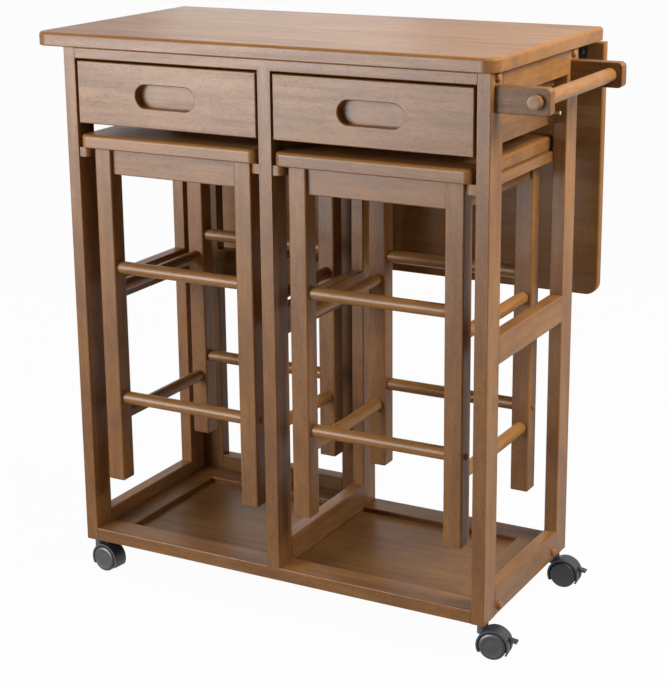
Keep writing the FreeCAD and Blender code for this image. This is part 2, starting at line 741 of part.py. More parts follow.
upper_level = f"({top_underside} - upper_cap_drop)"
lower_level = "(caster_height + lower_cap_rise)"
cap_places = [
    ("upper_cap_inset", upper_level),
    ("frame_depth - upper_cap_inset", upper_level),
    ("lower_cap_inset", lower_level),
    ("frame_depth - lower_cap_inset", lower_level),
]
caps = []
for number, (y, level) in enumerate(cap_places, start=1):
    caps.append(button_cap(f"right_cap_{number}", "frame", 1, (frame_length, y, level)))
    caps.append(button_cap(f"left_cap_{number}", "frame", -1, ("0", y, level)))
place(group("frame_caps", caps))

# ---- drawers ----

drawer_z = f"({kicker_underside} - drawer_top_gap - drawer_front_height)"
side_z = f"({drawer_z} + drawer_side_rise)"
drawer_floor_z = f"({side_z} + drawer_bottom_rise)"
drawer_width = "(bay_width - 2 * drawer_front_gap)"
box_length = f"({drawer_depth} - drawer_front_thickness)"
groove_top = "(strip_level + strip_height + slide_gap)"
groove_bottom = "(strip_level - groove_play)"
groove_depth = "(strip_width - drawer_front_gap + groove_play)"


def grip_sketch(owner, centre_x_text, centre_z_text):
    """A slot outline on the drawer front: two straight sides and two half circles."""
    plane = [f for f in owner.Origin.OriginFeatures if f.Role == "XZ_Plane"][0]
    sketch = owner.newObject("Sketcher::SketchObject", owner.Name + "_grip")
    sketch.AttachmentSupport = [(plane, "")]
    sketch.MapMode = "FlatFace"
    radius = sheet.get("grip_height") / 2
    half = sheet.get("grip_width") / 2 - radius
    up = FreeCAD.Vector(0, 0, 1)
    points = [FreeCAD.Vector(half, radius), FreeCAD.Vector(-half, radius)]
    points += [FreeCAD.Vector(-half, -radius), FreeCAD.Vector(half, -radius)]
    right = Part.Circle(FreeCAD.Vector(half, 0), up, radius)
    left = Part.Circle(FreeCAD.Vector(-half, 0), up, radius)
    quarter = math.pi / 2
    sketch.addGeometry(Part.ArcOfCircle(right, -quarter, quarter), False)
    sketch.addGeometry(Part.LineSegment(points[0], points[1]), False)
    sketch.addGeometry(Part.ArcOfCircle(left, quarter, 3 * quarter), False)
    sketch.addGeometry(Part.LineSegment(points[2], points[3]), False)
    corners = ((0, 2, 1, 1), (1, 2, 2, 1), (2, 2, 3, 1), (3, 2, 0, 1))
    for first, first_end, second, second_end in corners:
        sketch.addConstraint(Sketcher.Constraint("Tangent", first, first_end, second, second_end))
    sketch.addConstraint(Sketcher.Constraint("Horizontal", 1))
    sketch.addConstraint(Sketcher.Constraint("Symmetric", 2, 3, 0, 3, -1, 1))
    width = sketch.addConstraint(Sketcher.Constraint("DistanceX", 2, 3, 0, 3, 2 * half))
    sketch.renameConstraint(width, "centres")
    size = sketch.addConstraint(Sketcher.Constraint("Radius", 0, radius))
    sketch.renameConstraint(size, "end_radius")
    places = {
        "Constraints.centres": "grip_width - grip_height",
        "Constraints.end_radius": "grip_height / 2",
        "AttachmentOffset.Base.x": centre_x_text,
        "AttachmentOffset.Base.y": centre_z_text,
    }
    bind(sketch, **places)
    return sketch


def drawer_side(name, x, inner_x, groove_x):
    """A drawer side with an outer groove for the runner strip and an inner one for the bottom."""
    side = plank(
        name,
        ("drawer_wall", box_length, "drawer_side_height"),
        (x, "drawer_front_thickness", side_z),
        box_edges(lambda x, y, z: y == 0.5 and z == 1),
    )
    groove = (groove_depth, box_length, f"{groove_top} - {groove_bottom}")
    add_box(side, groove, (groove_x, "drawer_front_thickness", groove_bottom), cut=True)
    slot = ("drawer_bottom_groove", box_length, "drawer_bottom")
    add_box(side, slot, (inner_x, "drawer_front_thickness", drawer_floor_z), cut=True)
    return side


def drawer(name, bay, outer_side):
    """A drawer of a bay; its stop pin is on the side of the outer frame."""
    left = f"({bay_x(bay)} + drawer_front_gap)"
    right = f"({left} + {drawer_width})"
    front = plank(
        f"{name}_drawer_front",
        (drawer_width, "drawer_front_thickness", "drawer_front_height"),
        (left, "0", drawer_z),
        box_edges(lambda x, y, z: y == 0),
    )
    grip_z = f"{drawer_z} + drawer_front_height / 2"
    sketch = grip_sketch(front, f"{left} + {drawer_width} / 2", grip_z)
    doc.recompute()
    solid = front.Tip.Shape.Volume
    pocket = front.newObject("PartDesign::Pocket", f"{name}_grip_pocket")
    pocket.Profile = sketch
    bind(pocket, Length="grip_depth")
    doc.recompute()
    if front.Tip.Shape.Volume > solid - 1:
        pocket.Reversed = True
        doc.recompute()
    shape = front.Tip.Shape
    faces = [f for f in shape.Faces if abs(f.BoundBox.YMax) < 0.01 and abs(f.BoundBox.YMin) < 0.01]
    rim = min(faces[0].Wires, key=lambda wire: wire.Length)
    names = []
    for number, edge in enumerate(shape.Edges, start=1):
        if any(edge.isSame(rim_edge) for rim_edge in rim.Edges):
            names.append(f"Edge{number}")
    round_edges(front, names, "arris")
    slot_at = (f"{left} + drawer_wall - drawer_bottom_groove",)
    slot_at += ("drawer_front_thickness - drawer_bottom_groove", drawer_floor_z)
    floor_width = f"({drawer_width} - 2 * drawer_wall + 2 * drawer_bottom_groove)"
    add_box(front, (floor_width, "drawer_bottom_groove", "drawer_bottom"), slot_at, cut=True)
    place(front)

    wall_right = f"({right} - drawer_wall)"
    inner_left = f"({left} + drawer_wall)"
    pieces = [
        drawer_side(f"{name}_side_left", left, f"{inner_left} - drawer_bottom_groove", left),
        drawer_side(f"{name}_side_right", wall_right, wall_right, f"{right} - {groove_depth}"),
    ]
    back_y = f"({drawer_depth} - drawer_wall)"
    back_width = f"({drawer_width} - 2 * drawer_wall)"
    back = plank(
        f"{name}_back",
        (back_width, "drawer_wall", "drawer_side_height"),
        (inner_left, back_y, side_z),
        box_edges(lambda x, y, z: x == 0.5 and z == 1),
    )
    groove = (back_width, "drawer_bottom_groove", "drawer_bottom")
    add_box(back, groove, (inner_left, back_y, drawer_floor_z), cut=True)
    pieces.append(back)
    place(group(f"{name}_drawer_box", pieces))

    floor = body(f"{name}_drawer_bottom")
    floor_length = f"{back_y} - drawer_front_thickness + 2 * drawer_bottom_groove"
    add_box(floor, (floor_width, floor_length, "drawer_bottom"), slot_at)
    place(floor)

    pin = body(f"{name}_drawer_stop_pin")
    if outer_side > 0:
        face = f"{frame_length} - stop_pin_inset"
        shank_from = f"({right} - stop_pin_grip)"
        add_cylinder(
            pin,
            "x",
            "stop_pin_radius",
            f"{face} - {shank_from}",
            (shank_from, stop_pin_y, "stop_pin_level"),
        )
        head_from = f"{face} - stop_head_length"
    else:
        shank_length = f"{left} + stop_pin_grip - stop_pin_inset"
        shank_at = ("stop_pin_inset", stop_pin_y, "stop_pin_level")
        add_cylinder(pin, "x", "stop_pin_radius", shank_length, shank_at)
        head_from = "stop_pin_inset"
    head_at = (head_from, stop_pin_y, "stop_pin_level")
    add_cylinder(pin, "x", "stop_head_radius", "stop_head_length", head_at)
    place(pin)
    side = pieces[1] if outer_side > 0 else pieces[0]
    hole_x = f"{right} - stop_pin_grip" if outer_side > 0 else left
    hole_at = (hole_x, stop_pin_y, "stop_pin_level")
    add_cylinder(side, "x", "stop_pin_radius", "stop_pin_grip", hole_at, cut=True)


drawer("left", 0, -1)
drawer("right", 1, 1)

# ---- stools ----


def stool(name, bay):
    """A stool that hangs in the middle of a bay by the edges of its seat."""
    left = f"({bay_x(bay)} + seat_side_gap)"
    front = "(-seat_front)"
    seat = board(
        f"{name}_stool_seat",
        (seat_width, seat_depth, "seat_thickness"),
        (left, front, seat_underside),
        "seat_corner",
        "seat_corner",
        "top_edge_round",
        "under_edge_round",
    )
    place(seat)

    far_leg = "seat_overhang - leg_width"
    leg_x = [f"({left} + seat_overhang)", f"({left} + {seat_width} - {far_leg})"]
    leg_y = [f"({front} + seat_overhang)", f"({front} + {seat_depth} - {far_leg})"]
    leg_z = f"({seat_underside} - leg_length)"
    cross_levels = [f"({seat_underside} - cross_rung_drop_{level})" for level in ("upper", "lower")]
    side_levels = [f"({seat_underside} - side_rung_drop_{level})" for level in ("upper", "lower")]
    legs = []
    for i in range(2):
        for j in range(2):
            size = ("leg_width", "leg_width", "leg_length")
            leg = plank(f"{name}_leg_{i}{j}", size, (leg_x[i], leg_y[j], leg_z), AT_FOOT, "leg_round")
            middle_x = f"{leg_x[i]} + leg_width / 2"
            middle_y = f"{leg_y[j]} + leg_width / 2"
            from_x = f"{leg_x[i]} + (leg_width - rung_socket) * {1 - i}"
            from_y = f"{leg_y[j]} + (leg_width - rung_socket) * {1 - j}"
            for level in cross_levels:
                add_cylinder(leg, "x", "rung_radius", "rung_socket", (from_x, middle_y, level), cut=True)
            for level in side_levels:
                add_cylinder(leg, "y", "rung_radius", "rung_socket", (middle_x, from_y, level), cut=True)
            legs.append(leg)
    place(group(f"{name}_stool_legs", legs))

    span_x = f"({seat_width} - 2 * seat_overhang - 2 * leg_width)"
    span_y = f"({seat_depth} - 2 * seat_overhang - 2 * leg_width)"
    apron_z = f"({seat_underside} - apron_height)"
    aprons = []
    for j in range(2):
        inward = "apron_setback" if j == 0 else "leg_width - apron_setback - apron_thickness"
        size = (span_x, "apron_thickness", "apron_height")
        at = (f"{leg_x[0]} + leg_width", f"{leg_y[j]} + {inward}", apron_z)
        aprons.append(plank(f"{name}_apron_x{j}", size, at, ALONG_X))
        size = ("apron_thickness", span_y, "apron_height")
        at = (f"{leg_x[j]} + {inward}", f"{leg_y[0]} + leg_width", apron_z)
        aprons.append(plank(f"{name}_apron_y{j}", size, at, ALONG_Y))
    place(group(f"{name}_stool_aprons", aprons))

    rungs = []
    for j in range(2):
        for number, level in enumerate(cross_levels):
            rung = body(f"{name}_rung_x{j}{number}")
            at = (f"{leg_x[0]} + leg_width - rung_socket", f"{leg_y[j]} + leg_width / 2", level)
            add_cylinder(rung, "x", "rung_radius", f"{span_x} + 2 * rung_socket", at)
            rungs.append(rung)
        for number, level in enumerate(side_levels):
            rung = body(f"{name}_rung_y{j}{number}")
            at = (f"{leg_x[j]} + leg_width / 2", f"{leg_y[0]} + leg_width - rung_socket", level)
            add_cylinder(rung, "y", "rung_radius", f"{span_y} + 2 * rung_socket", at)
            rungs.append(rung)
    place(group(f"{name}_stool_rungs", rungs))

    stool_caps = []
    for j in range(2):
        at_y = f"{leg_y[j]} + leg_width / 2"
        right_face = f"{leg_x[1]} + leg_width"
        for side, sign, face in (("r", 1, right_face), ("l", -1, leg_x[0])):
            at = (face, at_y, cross_levels[1])
            stool_caps.append(button_cap(f"{name}_cap_{side}{j}", "stool", sign, at))
    place(group(f"{name}_stool_caps", stool_caps))


stool("left", 0)
stool("right", 1)

# ---- casters: built about the swivel axis, with the axle behind it along +X ----

wheel_inner = "(web_width / 2 + wheel_gap)"
boss_top = "(caster_height - boss_gap)"
hood_inner = "(wheel_radius + hood_play)"


def caster_housing(name, braked):
    """A hood over both wheels, a web between them and a boss on the stem."""
    owner = body(name)
    hood_at = ("trail", "-hood_width / 2", "wheel_radius")
    add_cylinder(owner, "y", "hood_radius", "hood_width", hood_at)
    boss_foot = f"({boss_top} - stem_hold - web_width / 2)"
    add_cylinder(owner, "z", "boss_radius", f"{boss_top} - {boss_foot}", ("0", "0", boss_foot))
    reach = "(2 * hood_radius + trail)"
    below = (f"2 * {reach}", f"2 * {reach}", reach)
    add_box(owner, below, (f"-{reach}", f"-{reach}", f"hood_level - {reach}"), cut=True)
    well_width = f"{reach} - web_width / 2"
    for start in ("web_width / 2", f"-{reach}"):
        add_cylinder(owner, "y", hood_inner, well_width, ("trail", start, "wheel_radius"), cut=True)
    stem_at = ("0", "0", f"{boss_top} - stem_hold")
    add_cylinder(owner, "z", "stem_radius + pin_clearance", "stem_hold", stem_at, cut=True)
    axle_at = ("trail", "-web_width", "wheel_radius")
    add_cylinder(owner, "y", "axle_radius + pin_clearance", "2 * web_width", axle_at, cut=True)
    if braked:
        hub_at = (lever_x, "-web_width", lever_z)
        add_cylinder(owner, "y", "lever_hub + lever_play", "2 * web_width", hub_at, cut=True)
        slot_size = (
            "hood_radius + lever_hub",
            "lever_width + 2 * lever_play",
            "lever_slot_rise + lever_slot_drop",
        )
        slot_at = (lever_x, "-lever_width / 2 - lever_play", f"{lever_z} - lever_slot_drop")
        add_box(owner, slot_size, slot_at, cut=True)
    return owner


lever_x = "(trail + lever_arm * cos(lever_angle))"
lever_z = "(wheel_radius + lever_arm * sin(lever_angle))"


def wheel_pair(name):
    """Two wheels on one axle, each with a rounded outer edge and a shallow dish in its face."""
    owner = body(name)
    half = f"({wheel_inner} + wheel_width)"
    axle_at = ("trail", f"-{wheel_inner} - 1", "wheel_radius")
    add_cylinder(owner, "y", "axle_radius", f"2 * {wheel_inner} + 2", axle_at)
    for start in (wheel_inner, f"-{half}"):
        add_cylinder(owner, "y", "wheel_radius", "wheel_width", ("trail", start, "wheel_radius"))
    for side in ("YMin", "YMax"):
        doc.recompute()
        shape = owner.Tip.Shape
        level = getattr(shape.BoundBox, side)
        round_edges(owner, edges_in_plane(shape, "Y", level), "wheel_round")
    for start in (f"{half} - dish_depth", f"-{half} - dish_depth"):
        dish_at = ("trail", start, "wheel_radius")
        add_cylinder(owner, "y", "dish_radius", "2 * dish_depth", dish_at, cut=True)
    return owner


def brake_lever(name):
    """A hub in the housing's web, an arm out through the hood and a tab for the toe."""
    owner = body(name)
    hub_at = (lever_x, "-lever_width / 2", lever_z)
    add_cylinder(owner, "y", "lever_hub", "lever_width", hub_at)
    turn = FreeCAD.Rotation(FreeCAD.Vector(0, 1, 0), -sheet.get("lever_angle") / 2)
    tilt = FreeCAD.Rotation(FreeCAD.Vector(0, 1, 0), sheet.get("lever_angle") / 2)
    arm = owner.newObject("PartDesign::AdditiveBox", name + "_arm")
    arm.Placement = FreeCAD.Placement(FreeCAD.Vector(), turn)
    arm_length = "(lever_reach - tab_length + 1)"
    bind(
        arm,
        Length=arm_length,
        Width="lever_width",
        Height="lever_thickness",
        x=lever_x,
        y="-lever_width / 2",
        z=lever_z,
    )
    tab = owner.newObject("PartDesign::AdditiveBox", name + "_tab")
    tab.Placement = FreeCAD.Placement(FreeCAD.Vector(), tilt)
    out = "(lever_reach - tab_length)"
    bind(
        tab,
        Length="tab_length",
        Width="tab_width",
        Height="lever_thickness",
        x=f"{lever_x} + {out} * cos(lever_angle / 2)",
        y="-tab_width / 2",
        z=f"{lever_z} + {out} * sin(lever_angle / 2)",
    )
    return owner


stems = []
CASTERS = [
    ("front_left", frame_x(0), "0", False),
    ("front_right", frame_x(2), "0", True),
    ("rear_left", frame_x(0), rear_post, False),
    ("rear_right", frame_x(2), rear_post, True),
]
for name, post_x, post_y, braked in CASTERS:
    swivel_x = f"({post_x} + post_width / 2)"
    swivel_y = f"({post_y} + post_depth / 2)"
    stem = body(f"{name}_stem")
    stem_from = f"({boss_top} - stem_hold + pin_end_gap)"
    stem_length = f"caster_height + stem_grip - {stem_from}"
    add_cylinder(stem, "z", "stem_radius", stem_length, (swivel_x, swivel_y, stem_from))
    stems.append(stem)
    turn = FreeCAD.Rotation(FreeCAD.Vector(0, 0, 1), sheet.get(f"turn_{name}"))
    made = [caster_housing(f"caster_{name}_housing", braked), wheel_pair(f"caster_{name}_wheels")]
    if braked:
        made.append(brake_lever(f"caster_{name}_brake"))
    for piece in made:
        piece.Placement = FreeCAD.Placement(FreeCAD.Vector(), turn)
        place(piece, swivel_x, swivel_y)
place(group("caster_stems", stems))

# ---- check and write ----

doc.recompute()
faults = [item.Name for item in doc.Objects if "Invalid" in item.State or "Error" in item.State]
for item in parts:
    shape = item.Shape
    if shape.isNull() or not shape.isValid() or not shape.Solids:
        faults.append(item.Label)
if faults:
    raise RuntimeError("these did not build: " + ", ".join(sorted(set(faults))))

os.makedirs("parts", exist_ok=True)
for item in parts:
    item.Shape.exportStep(f"parts/{item.Label}.step")
print(len(parts), "sub-parts written")
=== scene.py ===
import json
import math

import bpy
import numpy as np
from bpy.props import FloatProperty, FloatVectorProperty, IntProperty, PointerProperty
from mathutils import Matrix, Vector


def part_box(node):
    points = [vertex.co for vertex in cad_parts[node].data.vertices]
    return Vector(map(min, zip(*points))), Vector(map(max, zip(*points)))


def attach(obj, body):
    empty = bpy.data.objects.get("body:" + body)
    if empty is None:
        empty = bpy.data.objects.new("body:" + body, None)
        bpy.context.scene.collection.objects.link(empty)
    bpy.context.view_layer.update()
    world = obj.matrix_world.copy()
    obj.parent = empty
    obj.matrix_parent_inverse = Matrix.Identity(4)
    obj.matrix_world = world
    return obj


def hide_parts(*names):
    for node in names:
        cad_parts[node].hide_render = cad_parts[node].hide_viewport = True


bl_info = {
    "name": "Drop leaf kitchen island",
    "version": (1, 0, 0),
    "blender": (4, 5, 0),
    "location": "3D View > Sidebar > Island",
    "description": "Stains the timber, turns the dowels, caps and casters, and sets the studio",
    "category": "Object",
}

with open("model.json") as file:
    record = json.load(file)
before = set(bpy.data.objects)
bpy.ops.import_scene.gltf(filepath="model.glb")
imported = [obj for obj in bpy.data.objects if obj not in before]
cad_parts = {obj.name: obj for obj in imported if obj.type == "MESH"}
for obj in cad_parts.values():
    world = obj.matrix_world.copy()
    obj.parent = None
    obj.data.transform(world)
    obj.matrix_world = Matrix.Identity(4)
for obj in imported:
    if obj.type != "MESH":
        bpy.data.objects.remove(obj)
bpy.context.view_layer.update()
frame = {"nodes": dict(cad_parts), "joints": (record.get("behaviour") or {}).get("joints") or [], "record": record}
NODES = frame["nodes"]
BODIES = frame["record"]["behaviour"]["bodies"]
JOINTS = {joint["name"]: joint for joint in frame["joints"]}
MM = 0.001  # one millimetre in Blender's metres


def linear(hex_text):
    """An sRGB hex value as linear red, green and blue."""
    srgb = np.array([int(hex_text[i : i + 2], 16) for i in (1, 3, 5)]) / 255.0
    low = srgb / 12.92
    high = ((srgb + 0.055) / 1.055) ** 2.4
    return tuple(float(c) for c in np.where(srgb <= 0.04045, low, high))


# ---------------------------------------------------------------- settings


def colour(label, text, hex_text):
    """A colour setting whose default is an sRGB hex value."""
    return FloatVectorProperty(
        name=label, description=text, subtype="COLOR", size=3, min=0, max=1, default=linear(hex_text)
    )


def length(label, text, millimetres):
    """A length setting whose default is in millimetres."""
    return FloatProperty(
        name=label, description=text, unit="LENGTH", min=0, default=millimetres * MM, precision=5
    )


class IslandTimber(bpy.types.PropertyGroup):
    stain_mid: colour("Stain", "Middle tone of the stained beech", "#7e5532")
    stain_light: colour("Light streak", "Tone where the stain took least", "#9b6c38")
    stain_dark: colour("Dark streak", "Tone of the late wood lines", "#59371d")
    pore_tone: colour("Pore", "Tone of the fine open pores", "#3b2416")
    # Golden arris tone: partly stain rubbed thin, partly a painted highlight on the rounded edges.
    arris_wear_and_highlight_tone: colour("Arris", "Golden tone of edges where the stain was rubbed thin", "#8f5c26")
    ring_width: length("Ring width", "Distance between two growth rings", 5.5)
    stave_width: length("Stave width", "Width of the staves glued into the tops", 62)
    satin: FloatProperty(
        name="Satin", description="Roughness of the sealed wood", min=0, max=1, default=0.36
    )
    gloss: FloatProperty(
        name="Gloss", description="Strength of the lacquer's reflection", min=0, max=1, default=0.17
    )


class IslandDowels(bpy.types.PropertyGroup):
    end_bevel: length("End bevel", "Softened rim at the end of a dowel", 1.2)
    sides: IntProperty(name="Sides", description="Faces round a dowel", min=16, max=128, default=64)


class IslandButtons(bpy.types.PropertyGroup):
    sides: IntProperty(name="Sides", description="Faces round a button cap", min=16, max=96, default=48)
    lip: length("Lip", "Height of the straight rim under a cap's dome", 1.0)


class IslandHardware(bpy.types.PropertyGroup):
    zinc_tone: colour("Zinc", "Colour of the bright zinc plating", "#b9b7b0")
    screw_radius: length("Screw head", "Radius of a hinge screw's head", 3.0)
    screw_height: length("Screw dome", "Height of a hinge screw's head", 0.45)


class IslandCasters(bpy.types.PropertyGroup):
    nylon_tone: colour("Nylon", "Colour of the housings", "#1b1d23")
    tread_tone: colour("Wheel", "Colour of the wheels", "#16171b")
    dish: length("Dish", "Depth of the dish in a wheel's face", 0.5)


class IslandStage(bpy.types.PropertyGroup):
    floor_tone: colour("Floor", "Colour of the studio floor", "#bdbdbf")
    lift: FloatProperty(
        name="Lift", description="Share of plain white that the floor shows", min=0, max=1, default=0.97
    )
    sky: FloatProperty(name="Sky", description="Strength of the even light", min=0, default=0.13)
    key: FloatProperty(name="Key", description="Power of the front left softbox", min=0, default=60)
    card: FloatProperty(
        name="Card", description="Power of the front card, which shows only in gloss", min=0, default=165
    )
    side: FloatProperty(name="Side", description="Power of the right softbox", min=0, default=46)
    top: FloatProperty(name="Top", description="Power of the overhead softbox", min=0, default=7)
    back: FloatProperty(name="Back", description="Power of the rear softbox", min=0, default=2.5)


# ---------------------------------------------------------------- node helpers


def add_node(tree, kind, settings=None, inputs=None):
    """Adds a node, sets its attributes, and sets or links its inputs."""
    node = tree.nodes.new(kind)
    for name, value in (settings or {}).items():
        setattr(node, name, value)
    for name, value in (inputs or {}).items():
        if isinstance(value, bpy.types.NodeSocket):
            tree.links.new(value, node.inputs[name])
        else:
            node.inputs[name].default_value = value
    return node


def new_material(name):
    """An empty node material and its output node."""
    material = bpy.data.materials.new(name)
    material.use_nodes = True
    material.node_tree.nodes.clear()
    output = add_node(material.node_tree, "ShaderNodeOutputMaterial")
    return material, material.node_tree, output


def dress(thing, material):
    """Gives an object one material."""
    thing.data.materials.clear()
    thing.data.materials.append(material)


def cells_of(millimetres):
    """The scale at which a pattern on coordinates in metres has cells of that size."""
    return 1 / (millimetres * MM)


# Settings that several nodes share.
TIMES = {"operation": "MULTIPLY"}
TIMES_PLUS = {"operation": "MULTIPLY_ADD"}
MINUS = {"operation": "SUBTRACT"}
LARGER = {"operation": "MAXIMUM"}
SMOOTH = {"interpolation_type": "SMOOTHSTEP"}
RGBA = {"data_type": "RGBA"}

# ---------------------------------------------------------------- stained beech


# Layers of the figure: reach along and across the grain in millimetres, detail, roughness.
FIGURE = {
    "cloud": (110.0, 32.0, 4.0, 0.55),
    "mottle": (26.0, 14.0, 2.0, 0.6),
    "band": (170.0, 9.0, 3.0, 0.5),
    "streak": (34.0, 1.4, 3.0, 0.6),
    "pore": (6.0, 0.9, 1.0, 0.5),
    "wander": (300.0, 40.0, 2.0, 0.5),
}
# Where a board was cut from the log, in millimetres along and across the grain: the place that
# boards are counted from, the step from one to the next, and the most that a stave is moved.
BOARDS_FROM = np.array([0.0, 90.0, 60.0])
NEXT_BOARD = np.array([271.0, 43.0, 31.0])
STAVE_THROW = (600.0, 120.0, 120.0)
# Growth rings: how much of the way along the grain counts, as a log tapers only a little, and the
# millimetres by which slow noise moves a ring.
RING_TAPER = 0.01
RING_WANDER = 26.0


def facing(tree):
    """The sizes of the three parts of the surface's normal, along the object's own axes."""
    source = add_node(tree, "ShaderNodeTexCoord")
    size = add_node(
        tree, "ShaderNodeVectorMath", {"operation": "ABSOLUTE"}, {0: source.outputs["Normal"]}
    )
    return add_node(tree, "ShaderNodeSeparateXYZ", inputs={0: size.outputs[0]}).outputs


def board_coordinates(tree, grain, seed):
    """Coordinates in millimetres with X along the grain, shifted so that no two boards match.

    Grain X, Y and Z read the object's own axes. Grain FACE serves a frame of boards that run both
    ways: a face that looks along Y belongs to a board along X, any other to a board along Y. Grain
    BOARD reads the attribute that the turned pieces carry, which is shifted already."""
    if grain == "BOARD":
        stored = add_node(tree, "ShaderNodeAttribute", {"attribute_name": "board"})
        return stored.outputs["Vector"]
    source = add_node(tree, "ShaderNodeTexCoord")
    parts = add_node(tree, "ShaderNodeSeparateXYZ", inputs={0: source.outputs["Object"]})
    order = {"X": "XYZ", "Y": "YZX", "Z": "ZXY", "FACE": "YZX"}[grain]
    turned = add_node(
        tree, "ShaderNodeCombineXYZ", inputs={i: parts.outputs[axis] for i, axis in enumerate(order)}
    )
    vector = turned.outputs[0]
    if grain == "FACE":
        sides = facing(tree)
        along_x = add_node(
            tree, "ShaderNodeMath", {"operation": "GREATER_THAN"}, {0: sides[1], 1: sides[0]}
        )
        chosen = add_node(
            tree,
            "ShaderNodeMix",
            {"data_type": "VECTOR"},
            {0: along_x.outputs[0], 4: vector, 5: source.outputs["Object"]},
        )
        vector = chosen.outputs[1]
    placed = add_node(
        tree,
        "ShaderNodeVectorMath",
        TIMES_PLUS,
        {0: vector, 1: [1 / MM] * 3, 2: (BOARDS_FROM + NEXT_BOARD * seed).tolist()},
    )
    return placed.outputs[0]


def stave_shift(tree, vector, width):
    """Splits a glued-up top into staves: the whole-numbered stave of Y picks a shift and a tone."""
    parts = add_node(tree, "ShaderNodeSeparateXYZ", inputs={0: vector})
    count = add_node(tree, "ShaderNodeMath", {"operation": "DIVIDE"}, {0: parts.outputs[1], 1: width})
    stave = add_node(tree, "ShaderNodeMath", {"operation": "FLOOR"}, {0: count.outputs[0]})
    dice = add_node(
        tree, "ShaderNodeTexWhiteNoise", {"noise_dimensions": "1D"}, {"W": stave.outputs[0]}
    )
    moved = add_node(
        tree,
        "ShaderNodeVectorMath",
        TIMES_PLUS,
        {0: dice.outputs["Color"], 1: STAVE_THROW, 2: vector},
    )
    return moved.outputs[0], dice.outputs["Value"]


def off_axis(tree, soft_axis):
    """How far the surface turns away from a board's flat faces: 0 on a face, most on an arris.

    Flat faces look along an axis. On a board with rounded corners they look along its thickness
    (soft_axis) or square to it. The result is one less the larger of the normal's size along the
    thickness and its size square to that, or, with no soft axis, one less its largest part."""
    sides = facing(tree)
    if soft_axis is None:
        third = sides[2]
        pair = add_node(tree, "ShaderNodeMath", LARGER, {0: sides[0], 1: sides[1]})
    else:
        third = sides[soft_axis]
        squared = add_node(tree, "ShaderNodeMath", TIMES, {0: third, 1: third})
        rest = add_node(tree, "ShaderNodeMath", MINUS, {0: 1.0, 1: squared.outputs[0]})
        pair = add_node(tree, "ShaderNodeMath", {"operation": "SQRT"}, {0: rest.outputs[0]})
    most = add_node(tree, "ShaderNodeMath", LARGER, {0: pair.outputs[0], 1: third})
    return add_node(tree, "ShaderNodeMath", MINUS, {0: 1.0, 1: most.outputs[0]}).outputs[0]


def figure_layers(tree, vector, ring_width):
    """The layers of a board's figure by name: the noises of FIGURE, and the growth rings.

    Growth rings are circles about a pith that mostly lies outside the board, moved by slow noise,
    so a face shows long faint lines and an end shows arcs. Their value is the sine of the distance
    from the pith, with one full turn to each ring width."""
    layers = {}
    for layer, (along, across, detail, roughness) in FIGURE.items():
        stretched = add_node(
            tree, "ShaderNodeVectorMath", TIMES, {0: vector, 1: (1 / along, 1 / across, 1 / across)}
        )
        noise = add_node(
            tree,
            "ShaderNodeTexNoise",
            inputs={
                "Vector": stretched.outputs[0],
                "Scale": 1.0,
                "Detail": detail,
                "Roughness": roughness,
            },
        )
        layers[layer] = noise.outputs["Fac"]

    across_log = add_node(tree, "ShaderNodeVectorMath", TIMES, {0: vector, 1: (RING_TAPER, 1.0, 1.0)})
    from_pith = add_node(
        tree, "ShaderNodeVectorMath", {"operation": "LENGTH"}, {0: across_log.outputs[0]}
    )
    wavy = add_node(
        tree,
        "ShaderNodeMath",
        TIMES_PLUS,
        {0: layers.pop("wander"), 1: RING_WANDER, 2: from_pith.outputs["Value"]},
    )
    turns = add_node(
        tree, "ShaderNodeMath", TIMES, {0: wavy.outputs[0], 1: 2 * math.pi / ring_width}
    )
    rings = add_node(tree, "ShaderNodeMath", {"operation": "SINE"}, {0: turns.outputs[0]})
    layers["ring"] = rings.outputs[0]
    return layers


